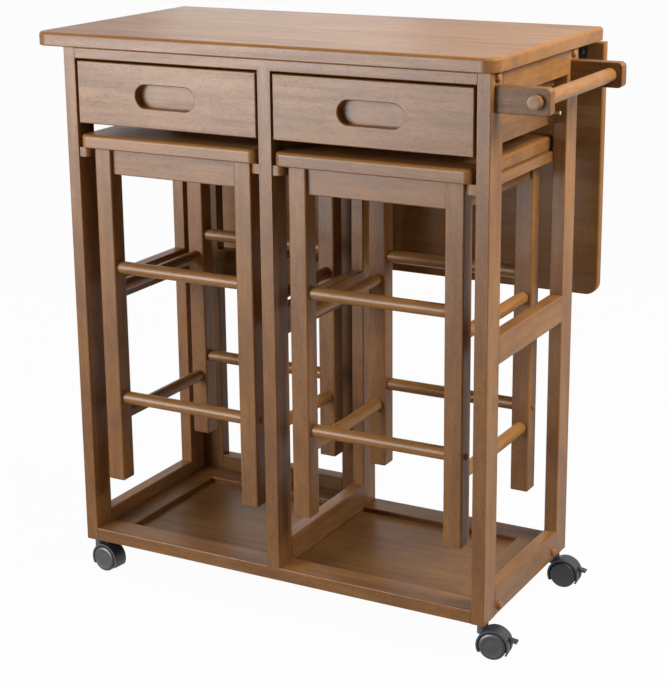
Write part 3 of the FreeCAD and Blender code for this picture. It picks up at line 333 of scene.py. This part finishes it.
def stained_beech(
    name, grain, seed=0.0, stave=False, soft_axis=None, arris=0.6, bright=0.0, gloss=1.0, deep=0.0
):
    """Beech, walnut-stained and sprayed with satin lacquer.

    The pores are short dark dashes along the grain, drawn about twice their real width so that
    they show. Planed arrises are golden by the share arris: partly where the stain was rubbed
    thin, and partly a painted highlight on the rounded edges. On a board that lies in shade,
    painted shade darkens the tones by the share deep. The light tone has at least the
    share bright."""
    timber = bpy.context.scene.island_timber
    material, tree, output = new_material(name)
    vector = board_coordinates(tree, grain, seed)
    layers = {}
    if stave:
        vector, layers["stave"] = stave_shift(tree, vector, timber.stave_width / MM)
    # The arris mask paints the golden edge: partly wear, partly a painted highlight on rounded edges.
    if arris:
        layers["arris"] = off_axis(tree, soft_axis)
    layers.update(figure_layers(tree, vector, timber.ring_width / MM))

    # Painted shade darkens all three tones of a board that lies in shade.
    base, light, dark = (
        (*(np.array(tone) * (1 - deep)).tolist(), 1)
        for tone in (timber.stain_mid, timber.stain_light, timber.stain_dark)
    )
    # Value where a layer starts to show and where it shows in full, its share at both, its tone.
    shows = {
        "cloud": (0.3, 0.7, bright, min(1.0, 0.7 + bright), light),
        "mottle": (0.42, 0.75, 0.0, 0.2, dark),
        "band": (0.4, 0.7, 0.0, 0.26, dark),
        "streak": (0.42, 0.7, 0.0, 0.2, dark),
        "ring": (0.1, 1.0, 0.0, 0.09, dark),
        "pore": (0.58, 0.7, 0.0, 0.45, (*timber.pore_tone, 1)),
        "stave": (0.0, 1.0, 0.0, 0.28, light),
        "arris": (0.005, 0.16, 0.0, arris, (*timber.arris_wear_and_highlight_tone, 1)),
    }
    shares = {}
    for layer, (start, full, least, most, tone) in shows.items():
        if layer in layers:
            share = add_node(
                tree,
                "ShaderNodeMapRange",
                SMOOTH,
                {
                    "Value": layers[layer],
                    "From Min": start,
                    "From Max": full,
                    "To Min": least,
                    "To Max": most,
                },
            )
            shares[layer] = share.outputs[0]
            mixed = add_node(tree, "ShaderNodeMix", RGBA, {0: shares[layer], 6: base, 7: tone})
            base = mixed.outputs[2]

    # The lacquer lies a little duller on the bands, sinks into the pores and follows the streaks.
    shine = add_node(
        tree,
        "ShaderNodeMapRange",
        inputs={
            "Value": layers["band"],
            "From Min": 0.2,
            "From Max": 0.8,
            "To Min": timber.satin - 0.04,
            "To Max": timber.satin + 0.05,
        },
    )
    pore_rise, streak_rise = -1.4, 0.3
    depth = add_node(tree, "ShaderNodeMath", TIMES, {0: shares["pore"], 1: pore_rise})
    relief = add_node(
        tree, "ShaderNodeMath", TIMES_PLUS, {0: layers["streak"], 1: streak_rise, 2: depth.outputs[0]}
    )
    bump = add_node(
        tree,
        "ShaderNodeBump",
        inputs={"Strength": 0.3, "Distance": 0.2 * MM, "Height": relief.outputs[0]},
    )
    surface = add_node(
        tree,
        "ShaderNodeBsdfPrincipled",
        inputs={
            "Base Color": base,
            "Roughness": shine.outputs[0],
            "IOR": 1.46,
            "Specular IOR Level": gloss * timber.gloss,
            "Normal": bump.outputs[0],
        },
    )
    tree.links.new(surface.outputs[0], output.inputs["Surface"])
    return material


# ---------------------------------------------------------------- other finishes


def raw_plywood(name):
    """Thin birch plywood, sanded and unstained: pale, with a broad soft figure about 330 mm long
    and 33 mm wide."""
    material, tree, output = new_material(name)
    source = add_node(tree, "ShaderNodeTexCoord")
    reach = [cells_of(size) for size in (333.0, 33.3, 33.3)]
    wide = add_node(
        tree, "ShaderNodeMapping", inputs={"Vector": source.outputs["Object"], "Scale": reach}
    )
    figure = add_node(
        tree, "ShaderNodeTexNoise", inputs={"Vector": wide.outputs[0], "Scale": 1.0, "Detail": 5.0}
    )
    late_wood, early_wood = (*linear("#a87f58"), 1), (*linear("#c9a67c"), 1)
    tones = add_node(
        tree, "ShaderNodeMix", RGBA, {0: figure.outputs["Fac"], 6: late_wood, 7: early_wood}
    )
    surface = add_node(
        tree, "ShaderNodeBsdfPrincipled", inputs={"Base Color": tones.outputs[2], "Roughness": 0.62}
    )
    tree.links.new(surface.outputs[0], output.inputs["Surface"])
    return material


def zinc_plate(name):
    """Steel with bright zinc plating: pale grey metal, whose gloss has a faint cloudy grain of
    about a millimetre."""
    hardware = bpy.context.scene.island_hardware
    material, tree, output = new_material(name)
    source = add_node(tree, "ShaderNodeTexCoord")
    grain = add_node(
        tree,
        "ShaderNodeTexNoise",
        inputs={"Vector": source.outputs["Object"], "Scale": cells_of(1.11), "Detail": 3.0},
    )
    rough = add_node(
        tree,
        "ShaderNodeMapRange",
        inputs={
            "Value": grain.outputs["Fac"],
            "From Min": 0.3,
            "From Max": 0.7,
            "To Min": 0.24,
            "To Max": 0.4,
        },
    )
    surface = add_node(
        tree,
        "ShaderNodeBsdfPrincipled",
        inputs={"Base Color": (*hardware.zinc_tone, 1), "Metallic": 1.0, "Roughness": rough.outputs[0]},
    )
    tree.links.new(surface.outputs[0], output.inputs["Surface"])
    return material


def moulded_nylon(name, tone):
    """Glass-filled nylon from a spark-eroded mould: dark, softly glossy, with a fine leather
    texture of about 0.6 mm, drawn a little coarser than real so that it shows, and faintly paler
    patches of about 17 mm where dust clings."""
    material, tree, output = new_material(name)
    source = add_node(tree, "ShaderNodeTexCoord")
    texture = add_node(
        tree,
        "ShaderNodeTexNoise",
        inputs={"Vector": source.outputs["Object"], "Scale": cells_of(0.588), "Detail": 2.0},
    )
    dust = add_node(
        tree,
        "ShaderNodeTexNoise",
        inputs={"Vector": source.outputs["Object"], "Scale": cells_of(16.7), "Detail": 3.0},
    )
    dusty = [min(1.0, part * 1.35 + 0.004) for part in tone]
    tones = add_node(
        tree, "ShaderNodeMix", RGBA, {0: dust.outputs["Fac"], 6: (*tone, 1), 7: (*dusty, 1)}
    )
    bump = add_node(
        tree,
        "ShaderNodeBump",
        inputs={"Strength": 0.3, "Distance": 0.1 * MM, "Height": texture.outputs["Fac"]},
    )
    surface = add_node(
        tree,
        "ShaderNodeBsdfPrincipled",
        inputs={
            "Base Color": tones.outputs[2],
            "Roughness": 0.46,
            "IOR": 1.53,
            "Normal": bump.outputs[0],
        },
    )
    tree.links.new(surface.outputs[0], output.inputs["Surface"])
    return material


# ---------------------------------------------------------------- surfaces


# Where the turned pieces were cut from the log, in millimetres along and across the grain.
DOWELS_FROM = np.array([0.0, 0.0, 25.0])
NEXT_DOWEL = np.array([211.0, 17.0, 29.0])
NEXT_BUTTON = np.array([37.0, 13.0, 7.0])


def axis_frame(axis):
    """Two unit directions square to an axis and to each other, as rows with the axis last."""
    axis = np.asarray(axis, float) / np.linalg.norm(axis)
    upright = abs(axis[2]) >= 0.9
    helper = np.array([1.0, 0.0, 0.0]) if upright else np.array([0.0, 0.0, 1.0])
    first = np.cross(helper, axis)
    first /= np.linalg.norm(first)
    return np.stack([first, np.cross(axis, first), axis])


def turned_grid(profile, centre, axis, sides):
    """A profile of (radius, height) pairs carried round an axis: each point is the centre plus
    the height along the axis plus the radius times (cos, sin) of the angle across it. Gives the
    vertices, the quads between neighbouring rings and a fan at each end, and the board
    coordinates in millimetres: height along the grain, and the two distances across it."""
    profile = np.asarray(profile, float)
    angles = np.arange(sides) * 2 * np.pi / sides
    across = profile[:, :1, None] * np.stack([np.cos(angles), np.sin(angles)], axis=1)[None]
    along = np.broadcast_to(profile[:, 1, None, None], (len(profile), sides, 1))
    local = np.concatenate([across, along], axis=2).reshape(-1, 3)
    ends = np.array([[0.0, 0.0, profile[0, 1]], [0.0, 0.0, profile[-1, 1]]])
    local = np.concatenate([local, ends])
    vertices = np.asarray(centre, float) + local @ axis_frame(axis)
    ring = np.arange(sides)
    following = np.roll(ring, -1)
    rows = (np.arange(len(profile) - 1) * sides)[:, None]
    quads = np.stack(
        [rows + ring, rows + following, rows + sides + following, rows + sides + ring], axis=2
    ).reshape(-1, 4)
    last = (len(profile) - 1) * sides
    first_pole = np.full(sides, len(local) - 2)
    last_pole = np.full(sides, len(local) - 1)
    fans = np.concatenate(
        [
            np.stack([first_pole, following, ring], axis=1),
            np.stack([last_pole, last + ring, last + following], axis=1),
        ]
    )
    board = local[:, [2, 0, 1]] / MM
    return vertices, quads, fans, board


def build(name, grids, smooth_angle=40.0):
    """One mesh object from several (vertices, quads, triangles, board) sets. An edge that bends by
    more than smooth_angle degrees stays sharp."""
    vertices, faces, boards, start = [], [], [], 0
    for points, quads, triangles, board in grids:
        vertices.append(points)
        boards.append(board)
        faces += (quads + start).tolist() + (triangles + start).tolist()
        start += len(points)
    mesh = bpy.data.meshes.new(name)
    mesh.from_pydata(np.concatenate(vertices).tolist(), [], faces)
    stored = mesh.attributes.new("board", "FLOAT_VECTOR", "POINT")
    stored.data.foreach_set("vector", np.concatenate(boards).astype(np.float32).ravel())
    mesh.polygons.foreach_set("use_smooth", np.ones(len(mesh.polygons), bool))
    mesh.update()
    mesh.set_sharp_from_angle(angle=math.radians(smooth_angle))
    thing = bpy.data.objects.new(name, mesh)
    bpy.context.scene.collection.objects.link(thing)
    return thing


def dowel_grid(start, end, radius, bevel, sides, seed):
    """A dowel: a straight profile whose rims are quarter circles with the bevel for radius. Each
    end face has one more ring, half way in."""
    start, end = np.asarray(start, float), np.asarray(end, float)
    span = np.linalg.norm(end - start)
    turn = np.linspace(0, np.pi / 2, 5)
    rim_radii = radius - bevel + bevel * np.sin(turn)
    rim_heights = bevel - bevel * np.cos(turn)
    middle = np.linspace(bevel, span - bevel, 12)[1:-1]
    inner = [(radius - bevel) * 0.5]
    heights = np.concatenate([[0.0], rim_heights, middle, span - rim_heights[::-1], [span]])
    radii = np.concatenate([inner, rim_radii, np.full(len(middle), radius), rim_radii[::-1], inner])
    grid = turned_grid(np.stack([radii, heights], axis=1), start, end - start, sides)
    return (*grid[:3], grid[3] + DOWELS_FROM + NEXT_DOWEL * seed)


def button_grid(centre, axis, radius, height, lip, sides, seed):
    """A domed button: a straight rim as high as the lip, then a dome. The dome's share of the
    rest of the height is one less the fourth power of the distance from the middle, all to the
    power 0.8."""
    reach = np.linspace(1.0, 0.0, 14)[:-1]
    dome = lip + (height - lip) * (1.0 - reach**4) ** 0.8
    radii = np.concatenate([[radius * 0.6, radius], radius * reach])
    heights = np.concatenate([[0.0, 0.0], dome])
    grid = turned_grid(np.stack([radii, heights], axis=1), centre, axis, sides)
    return (*grid[:3], grid[3] + NEXT_BUTTON * seed)


def pieces_of(node):
    """Corner pairs of a node's separate solids, lowest first. Points are rounded to a hundredth of
    a millimetre, so that those of neighbouring triangles meet. Triangles that share a corner get
    the lowest label among them, over and over, until the labels settle."""
    step = 0.01 * MM
    mesh = NODES[node].data
    points = np.empty(len(mesh.vertices) * 3, np.float32)
    mesh.vertices.foreach_get("co", points)
    points = points.reshape(-1, 3)
    corners = np.empty(len(mesh.loops), np.int32)
    mesh.loops.foreach_get("vertex_index", corners)
    rounded = np.round(points / step).astype(np.int64)
    spots, merged = np.unique(rounded, axis=0, return_inverse=True)
    triangles = merged.ravel()[corners].reshape(-1, 3)
    labels = np.arange(len(spots))
    settled = False
    while not settled:
        lowest = labels[triangles].min(axis=1)
        spread = labels.copy()
        np.minimum.at(spread, triangles.ravel(), np.repeat(lowest, 3))
        spread = spread[spread]
        settled = np.array_equal(spread, labels)
        labels = spread
    solids = [spots[labels == label] * step for label in np.unique(labels)]
    pairs = ((solid.min(0), solid.max(0)) for solid in solids)
    return sorted(pairs, key=lambda pair: pair[0][::-1].tolist())


# ---------------------------------------------------------------- operators


# The way each board's grain runs, as board_coordinates says. The order sets the boards' seeds.
GRAIN = {
    "worktop": "X",
    "drop_leaf": "X",
    "front_left_post": "Z",
    "front_centre_post": "Z",
    "front_right_post": "Z",
    "rear_left_post": "Z",
    "rear_centre_post": "Z",
    "rear_right_post": "Z",
    "side_top_rails": "Y",
    "side_middle_rails": "Y",
    "side_bottom_rails": "Y",
    "front_top_rail": "X",
    "rear_top_rail": "X",
    "stool_runners": "Y",
    "drawer_runners": "Y",
    "shelf_front_rail": "X",
    "shelf_rear_rail": "X",
    "shelf_cross_rails": "Y",
    "shelf_panels": "X",
    "towel_bracket_front": "X",
    "towel_bracket_rear": "X",
    "gate_stiles": "Z",
    "gate_rails": "X",
    "left_drawer_front": "X",
    "right_drawer_front": "X",
    "left_drawer_box": "FACE",
    "right_drawer_box": "FACE",
    "left_stool_seat": "X",
    "right_stool_seat": "X",
    "left_stool_legs": "Z",
    "right_stool_legs": "Z",
    "left_stool_aprons": "FACE",
    "right_stool_aprons": "FACE",
}
# Boards glued up from staves side by side along Y. The leaf hangs, so each of its faces shows one.
GLUED_UP = ("worktop", "drop_leaf", "shelf_panels", "left_stool_seat", "right_stool_seat")
# Boards with painted shade, for the shade that falls on them under the worktop and among the parts: the share by
# which their tones are painted darker, and their gloss.
PAINTED_SHADE_GLOSS = 0.6
PAINTED_SHADE = {
    "drop_leaf": 0.18,
    "shelf_panels": 0.35,
    "shelf_rear_rail": 0.35,
    "shelf_cross_rails": 0.35,
    "gate_stiles": 0.35,
    "gate_rails": 0.35,
    "towel_bracket_front": 0.3,
    "towel_bracket_rear": 0.3,
}
# Boards with rounded corners or a cut grip, and the axis of their thickness.
THICKNESS = {
    "worktop": 2,
    "drop_leaf": 1,
    "left_stool_seat": 2,
    "right_stool_seat": 2,
    "left_drawer_front": 1,
    "right_drawer_front": 1,
}
# Share of the golden tone on the arris of a board that lies flat: wear where hands and cloths rub most, and a
# painted highlight on its rounded edges.
TOP_ARRIS = 0.85
CORNERS = ("front_left", "front_right", "rear_left", "rear_right")


class ISLAND_OT_timber(bpy.types.Operator):
    """Stain every board along its own grain"""

    bl_idname = "island.timber"
    bl_label = "Stain the timber"

    def execute(self, context):
        for seed, (node, grain) in enumerate(GRAIN.items(), start=1):
            finish = {"stave": node in GLUED_UP, "soft_axis": THICKNESS.get(node)}
            if THICKNESS.get(node) == 2:
                finish["arris"] = TOP_ARRIS
            # Painted shade: darker tones and a weaker gloss for a board that lies in shade.
            if node in PAINTED_SHADE:
                finish["gloss"] = PAINTED_SHADE_GLOSS
                finish["deep"] = PAINTED_SHADE[node]
            dress(NODES[node], stained_beech(f"beech_{node}", grain, seed, **finish))
        plywood = raw_plywood("drawer_plywood")
        for node in ("left_drawer_bottom", "right_drawer_bottom"):
            dress(NODES[node], plywood)
        return {"FINISHED"}


class ISLAND_OT_dowels(bpy.types.Operator):
    """Turn the stool rungs and the towel bar"""

    bl_idname = "island.dowels"
    bl_label = "Turn the dowels"

    def execute(self, context):
        dowels = context.scene.island_dowels
        beech = stained_beech("beech_dowels", "BOARD", arris=0.0, bright=0.5)
        low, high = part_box("towel_bar")
        middle = (low + high) / 2
        ends = ((middle.x, low.y, middle.z), (middle.x, high.y, middle.z))
        radius = (high.x - low.x) / 2
        grid = dowel_grid(*ends, radius, dowels.end_bevel, dowels.sides, 3)
        bar = build("towel_dowel", [grid])
        dress(bar, beech)
        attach(bar, "cart")
        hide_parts("towel_bar")
        for side in ("left", "right"):
            node = f"{side}_stool_rungs"
            grids = []
            for seed, (low, high) in enumerate(pieces_of(node)):
                middle = (low + high) / 2
                span = high - low
                along = int(np.argmax(span))
                start, end = middle.copy(), middle.copy()
                start[along], end[along] = low[along], high[along]
                radius = np.sort(span)[0] / 2
                grids.append(dowel_grid(start, end, radius, dowels.end_bevel, dowels.sides, seed + 5))
            rungs = build(f"{side}_stool_dowels", grids)
            dress(rungs, beech)
            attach(rungs, f"{side}_stool")
            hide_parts(node)
        return {"FINISHED"}


class ISLAND_OT_buttons(bpy.types.Operator):
    """Turn the domed button caps that hide the screws"""

    bl_idname = "island.buttons"
    bl_label = "Turn the button caps"

    def execute(self, context):
        buttons = context.scene.island_buttons
        beech = stained_beech("beech_buttons", "BOARD", arris=0.0, bright=0.6)
        groups = (
            ("frame_caps", "cart", "frame_buttons"),
            ("left_stool_caps", "left_stool", "left_stool_buttons"),
            ("right_stool_caps", "right_stool", "right_stool_buttons"),
        )
        for node, body, name in groups:
            whole_low, whole_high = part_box(node)
            grids = []
            for seed, (low, high) in enumerate(pieces_of(node)):
                middle = (low + high) / 2
                out = 1.0 if middle[0] > (whole_low.x + whole_high.x) / 2 else -1.0
                foot = (low[0] if out > 0 else high[0], middle[1], middle[2])
                radius = (high[1] - low[1]) / 2
                height = high[0] - low[0]
                grids.append(
                    button_grid(foot, (out, 0, 0), radius, height, buttons.lip, buttons.sides, seed)
                )
            caps = build(name, grids)
            dress(caps, beech)
            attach(caps, body)
            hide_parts(node)
        return {"FINISHED"}


def stop_pin_profile(length_over_all, head_radius):
    """The profile of a stop pin from its foot: a straight shank, then a head with a small bevel
    below, a straight side, and a dome that is a quarter of an ellipse."""
    shank_radius = head_radius * 0.72
    bevel_radius = head_radius * 0.93
    head_start = length_over_all - 3.0 * MM
    bevel_end = head_start + 0.3 * MM
    dome_height = 1.2 * MM
    dome_start = length_over_all - dome_height
    turn = np.linspace(0, np.pi / 2, 6)[1:-1]
    outline = [
        (shank_radius * 0.5, 0.0),
        (shank_radius, 0.0),
        (shank_radius, head_start),
        (bevel_radius, head_start),
        (head_radius, bevel_end),
        (head_radius, dome_start),
    ]
    dome = np.stack([head_radius * np.cos(turn), dome_start + dome_height * np.sin(turn)], axis=1)
    return np.concatenate([outline, dome])


def screw_head_profile(radius, height):
    """The profile of a low round screw head: a quarter of an ellipse from its rim inwards."""
    reach = np.linspace(1.0, 0.0, 8)[:-1]
    return np.stack([radius * reach, height * np.sqrt(1.0 - reach**2)], axis=1)


class ISLAND_OT_hardware(bpy.types.Operator):
    """Plate the hinges and stop pins and set the hinge screws"""

    bl_idname = "island.hardware"
    bl_label = "Fit the steel hardware"

    def execute(self, context):
        hardware = context.scene.island_hardware
        zinc = zinc_plate("bright_zinc")
        plain = (
            "top_hinge_plates",
            "leaf_hinge_plates",
            "hinge_pins",
            "caster_stems",
            "gate_pins",
            "gate_foot_plate",
        )
        for node in plain:
            dress(NODES[node], zinc)
        for side, out in (("left", -1.0), ("right", 1.0)):
            node = f"{side}_drawer_stop_pin"
            low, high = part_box(node)
            middle = (low + high) / 2
            foot = (high.x if out < 0 else low.x, middle.y, middle.z)
            profile = stop_pin_profile(high.x - low.x, (high.z - low.z) / 2)
            pin = build(f"{side}_stop_pin", [turned_grid(profile, foot, (out, 0, 0), 40)])
            dress(pin, zinc)
            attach(pin, f"{side}_drawer")
            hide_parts(node)

        head = screw_head_profile(hardware.screw_radius, hardware.screw_height)
        along_plate = (0.15, 0.5, 0.85)
        from_edge = 12 * MM
        plate_thickness = 1.5 * MM
        # The plates under the worktop lie flat and face down, the leaf's stand and face forwards.
        places = (
            ("top_hinge_plates", "cart", (0, 0, -1.0)),
            ("leaf_hinge_plates", "leaf", (0, -1.0, 0)),
        )
        for node, body, out in places:
            grids = []
            for low, high in pieces_of(node):
                for share in along_plate:
                    x = low[0] + share * (high[0] - low[0])
                    if out[2]:
                        foot = (x, low[1] + from_edge, high[2] - plate_thickness)
                    else:
                        foot = (x, high[1] - plate_thickness, low[2] + from_edge)
                    grids.append(turned_grid(head, foot, out, 24))
            screws = build(f"{body}_hinge_screws", grids)
            dress(screws, zinc)
            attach(screws, body)
        return {"FINISHED"}


def wheel_pair_profile(half_width, dish):
    """The profile of two wheels on one axle, from one outer hub to the other.

    One wheel is a run of points (radius, depth below its outer plane) in millimetres. The other is
    its mirror image across the middle of the axle."""
    hub = [(2.0, 0.25), (5.0, 0.3)]
    dished_face = [(9.0, dish / MM), (12.4, dish / MM)]
    rim = [(14.6, 0.15), (16.0, 0.05)]
    shoulder = [(17.8, 0.45), (19.2, 1.5), (19.85, 2.9)]
    tread = [(20.0, 4.2), (20.0, 10.0)]
    inner_edge = [(19.6, 10.7), (18.9, 11.0)]
    core = [(3.0, 11.0)]
    face = np.array(hub + dished_face + rim + shoulder + tread + inner_edge + core) * MM
    wheel = np.stack([face[:, 0], half_width - face[:, 1]], axis=1)
    mirrored = wheel * np.array([1.0, -1.0])
    return np.concatenate([mirrored, wheel[::-1]])


class ISLAND_OT_casters(bpy.types.Operator):
    """Mould the twin wheels, the housings and the brake levers"""

    bl_idname = "island.casters"
    bl_label = "Mould the casters"

    def execute(self, context):
        casters = context.scene.island_casters
        nylon = moulded_nylon("caster_nylon", casters.nylon_tone)
        tread = moulded_nylon("caster_wheel_nylon", casters.tread_tone)
        half_width = 14.0 * MM
        profile = wheel_pair_profile(half_width, casters.dish)
        for corner in CORNERS:
            dress(NODES[f"caster_{corner}_housing"], nylon)
            roll = JOINTS[f"caster_{corner}_roll"]
            grid = turned_grid(profile, roll["pos_m"], roll["axis"], 96)
            wheels = build(f"caster_{corner}_wheel_pair", [grid], smooth_angle=50.0)
            dress(wheels, tread)
            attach(wheels, f"wheels_{corner}")
            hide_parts(f"caster_{corner}_wheels")
            if f"brake_{corner}" in BODIES:
                dress(NODES[f"caster_{corner}_brake"], nylon)
        return {"FINISHED"}


# How far the studio's floor reaches, and the point of the object that its lamps look at.
FLOOR_REACH = 30.0
LAMPS_AIM = Vector((0, 0, 0.45))
# The camera: its place, its yaw from +Y, pitch and roll in degrees, and the lens, whose focal
# length is in pixels of a picture 687 pixels high.
CAMERA_PLACE = (1.20111, -2.22122, 1.13047)
CAMERA_TURN = (-28.739, -15.071, -0.563)
PICTURE_HEIGHT = 687
FOCAL_PIXELS = 1732.7
SENSOR = 36.0
SHIFT = -0.08


def seen_rays(tree):
    """1 on the rays that the eye follows: straight from the camera, off gloss, and through glass."""
    rays = add_node(tree, "ShaderNodeLightPath").outputs
    direct = {0: rays["Is Camera Ray"], 1: rays["Is Glossy Ray"]}
    seen = add_node(tree, "ShaderNodeMath", LARGER, direct)
    through = {0: seen.outputs[0], 1: rays["Is Transmission Ray"]}
    return add_node(tree, "ShaderNodeMath", LARGER, through).outputs[0]


def lay_floor(scene, stage):
    """A wide paper floor. The eye sees it nearly plain white, and still sees the shadows on it."""
    mesh = bpy.data.meshes.new("studio_floor")
    signs = ((-1, -1), (1, -1), (1, 1), (-1, 1))
    corners = [(x * FLOOR_REACH, y * FLOOR_REACH, 0) for x, y in signs]
    mesh.from_pydata(corners, [], [(0, 1, 2, 3)])
    floor = bpy.data.objects.new("studio_floor", mesh)
    scene.collection.objects.link(floor)
    material, tree, output = new_material("studio_paper")
    paper = add_node(
        tree,
        "ShaderNodeBsdfPrincipled",
        inputs={"Base Color": (*stage.floor_tone, 1), "Roughness": 0.9, "Specular IOR Level": 0.1},
    )
    lifted = add_node(tree, "ShaderNodeMath", TIMES, {0: seen_rays(tree), 1: stage.lift})
    white = add_node(tree, "ShaderNodeEmission", inputs={"Color": (1, 1, 1, 1), "Strength": 1.0})
    shown = add_node(
        tree,
        "ShaderNodeMixShader",
        inputs={0: lifted.outputs[0], 1: paper.outputs[0], 2: white.outputs[0]},
    )
    tree.links.new(shown.outputs[0], output.inputs["Surface"])
    dress(floor, material)


def light_sky(scene, stage):
    """An even light from all around, which the eye sees as plain white."""
    world = bpy.data.worlds.new("studio")
    scene.world = world
    world.use_nodes = True
    tree = world.node_tree
    tree.nodes.clear()
    strength = add_node(
        tree,
        "ShaderNodeMapRange",
        inputs={"Value": seen_rays(tree), "To Min": stage.sky, "To Max": 1.0},
    )
    sky = add_node(
        tree, "ShaderNodeBackground", inputs={"Color": (1, 1, 1, 1), "Strength": strength.outputs[0]}
    )
    end = add_node(tree, "ShaderNodeOutputWorld")
    tree.links.new(sky.outputs[0], end.inputs["Surface"])


def hang_lamps(scene, stage):
    """Softboxes round the object, all aimed at its middle and unseen by the camera."""
    # Name, power, place, width and height, and whether the lamp lights matt surfaces.
    lamps = (
        ("key_softbox", stage.key, (-1.6, -2.1, 1.3), (1.4, 1.6), True),
        ("front_card", stage.card, (-1.15, -2.2, 0.72), (1.5, 0.95), False),
        ("side_softbox", stage.side, (1.35, 0.1, 1.7), (0.9, 0.9), True),
        ("top_softbox", stage.top, (0.2, -0.3, 3.2), (2.2, 2.2), True),
        ("back_softbox", stage.back, (-1.6, 2.6, 1.1), (0.8, 0.8), True),
    )
    for name, power, place, size, lights_matt in lamps:
        light = bpy.data.lights.new(name, "AREA")
        light.shape = "RECTANGLE"
        light.energy = power
        light.size, light.size_y = size
        lamp = bpy.data.objects.new(name, light)
        lamp.location = place
        lamp.visible_camera = False
        lamp.visible_diffuse = lights_matt
        aim = LAMPS_AIM - Vector(place)
        lamp.rotation_euler = aim.to_track_quat("-Z", "Y").to_euler()
        scene.collection.objects.link(lamp)


def set_camera(scene):
    """The camera, turned from level by its yaw and pitch, and then rolled about its line of sight."""
    lens = bpy.data.cameras.new("camera")
    lens.sensor_width = SENSOR
    lens.lens = FOCAL_PIXELS / PICTURE_HEIGHT * SENSOR
    lens.shift_y = SHIFT
    lens.clip_end = 100.0
    camera = bpy.data.objects.new("camera", lens)
    yaw, pitch, roll = (math.radians(angle) for angle in CAMERA_TURN)
    ahead = Vector(
        (math.sin(yaw) * math.cos(pitch), math.cos(yaw) * math.cos(pitch), math.sin(pitch))
    )
    level = Vector((math.cos(yaw), -math.sin(yaw), 0))
    above = level.cross(ahead)
    right = level * math.cos(roll) + above * math.sin(roll)
    up = above * math.cos(roll) - level * math.sin(roll)
    turn = Matrix((right, up, -ahead)).transposed()
    camera.matrix_world = Matrix.Translation(CAMERA_PLACE) @ turn.to_4x4()
    scene.collection.objects.link(camera)
    scene.camera = camera


class ISLAND_OT_stage(bpy.types.Operator):
    """Lay the floor, hang the lamps and set the camera"""

    bl_idname = "island.stage"
    bl_label = "Set the studio"

    def execute(self, context):
        scene = context.scene
        scene.view_settings.view_transform = "Standard"
        lay_floor(scene, scene.island_stage)
        light_sky(scene, scene.island_stage)
        hang_lamps(scene, scene.island_stage)
        set_camera(scene)
        return {"FINISHED"}


OPERATORS = (
    ISLAND_OT_timber,
    ISLAND_OT_dowels,
    ISLAND_OT_buttons,
    ISLAND_OT_hardware,
    ISLAND_OT_casters,
    ISLAND_OT_stage,
)
GROUPS = {
    "island_timber": IslandTimber,
    "island_dowels": IslandDowels,
    "island_buttons": IslandButtons,
    "island_hardware": IslandHardware,
    "island_casters": IslandCasters,
    "island_stage": IslandStage,
}


class ISLAND_PT_sidebar(bpy.types.Panel):
    """Settings and steps of the kitchen island"""

    bl_label = "Kitchen island"
    bl_idname = "ISLAND_PT_sidebar"
    bl_space_type = "VIEW_3D"
    bl_region_type = "UI"
    bl_category = "Island"

    def draw(self, context):
        for (name, group), operator in zip(GROUPS.items(), OPERATORS):
            box = self.layout.box()
            settings = getattr(context.scene, name)
            for setting in group.__annotations__:
                box.prop(settings, setting)
            box.operator(operator.bl_idname)


def register():
    for name, group in GROUPS.items():
        bpy.utils.register_class(group)
        setattr(bpy.types.Scene, name, PointerProperty(type=group))
    for item in (*OPERATORS, ISLAND_PT_sidebar):
        bpy.utils.register_class(item)


def unregister():
    for item in (ISLAND_PT_sidebar, *reversed(OPERATORS)):
        bpy.utils.unregister_class(item)
    for name, group in GROUPS.items():
        delattr(bpy.types.Scene, name)
        bpy.utils.unregister_class(group)


def main():
    register()
    bpy.ops.island.timber()
    bpy.ops.island.dowels()
    bpy.ops.island.buttons()
    bpy.ops.island.hardware()
    bpy.ops.island.casters()
    bpy.ops.island.stage()


if __name__ == "__main__":
    main()
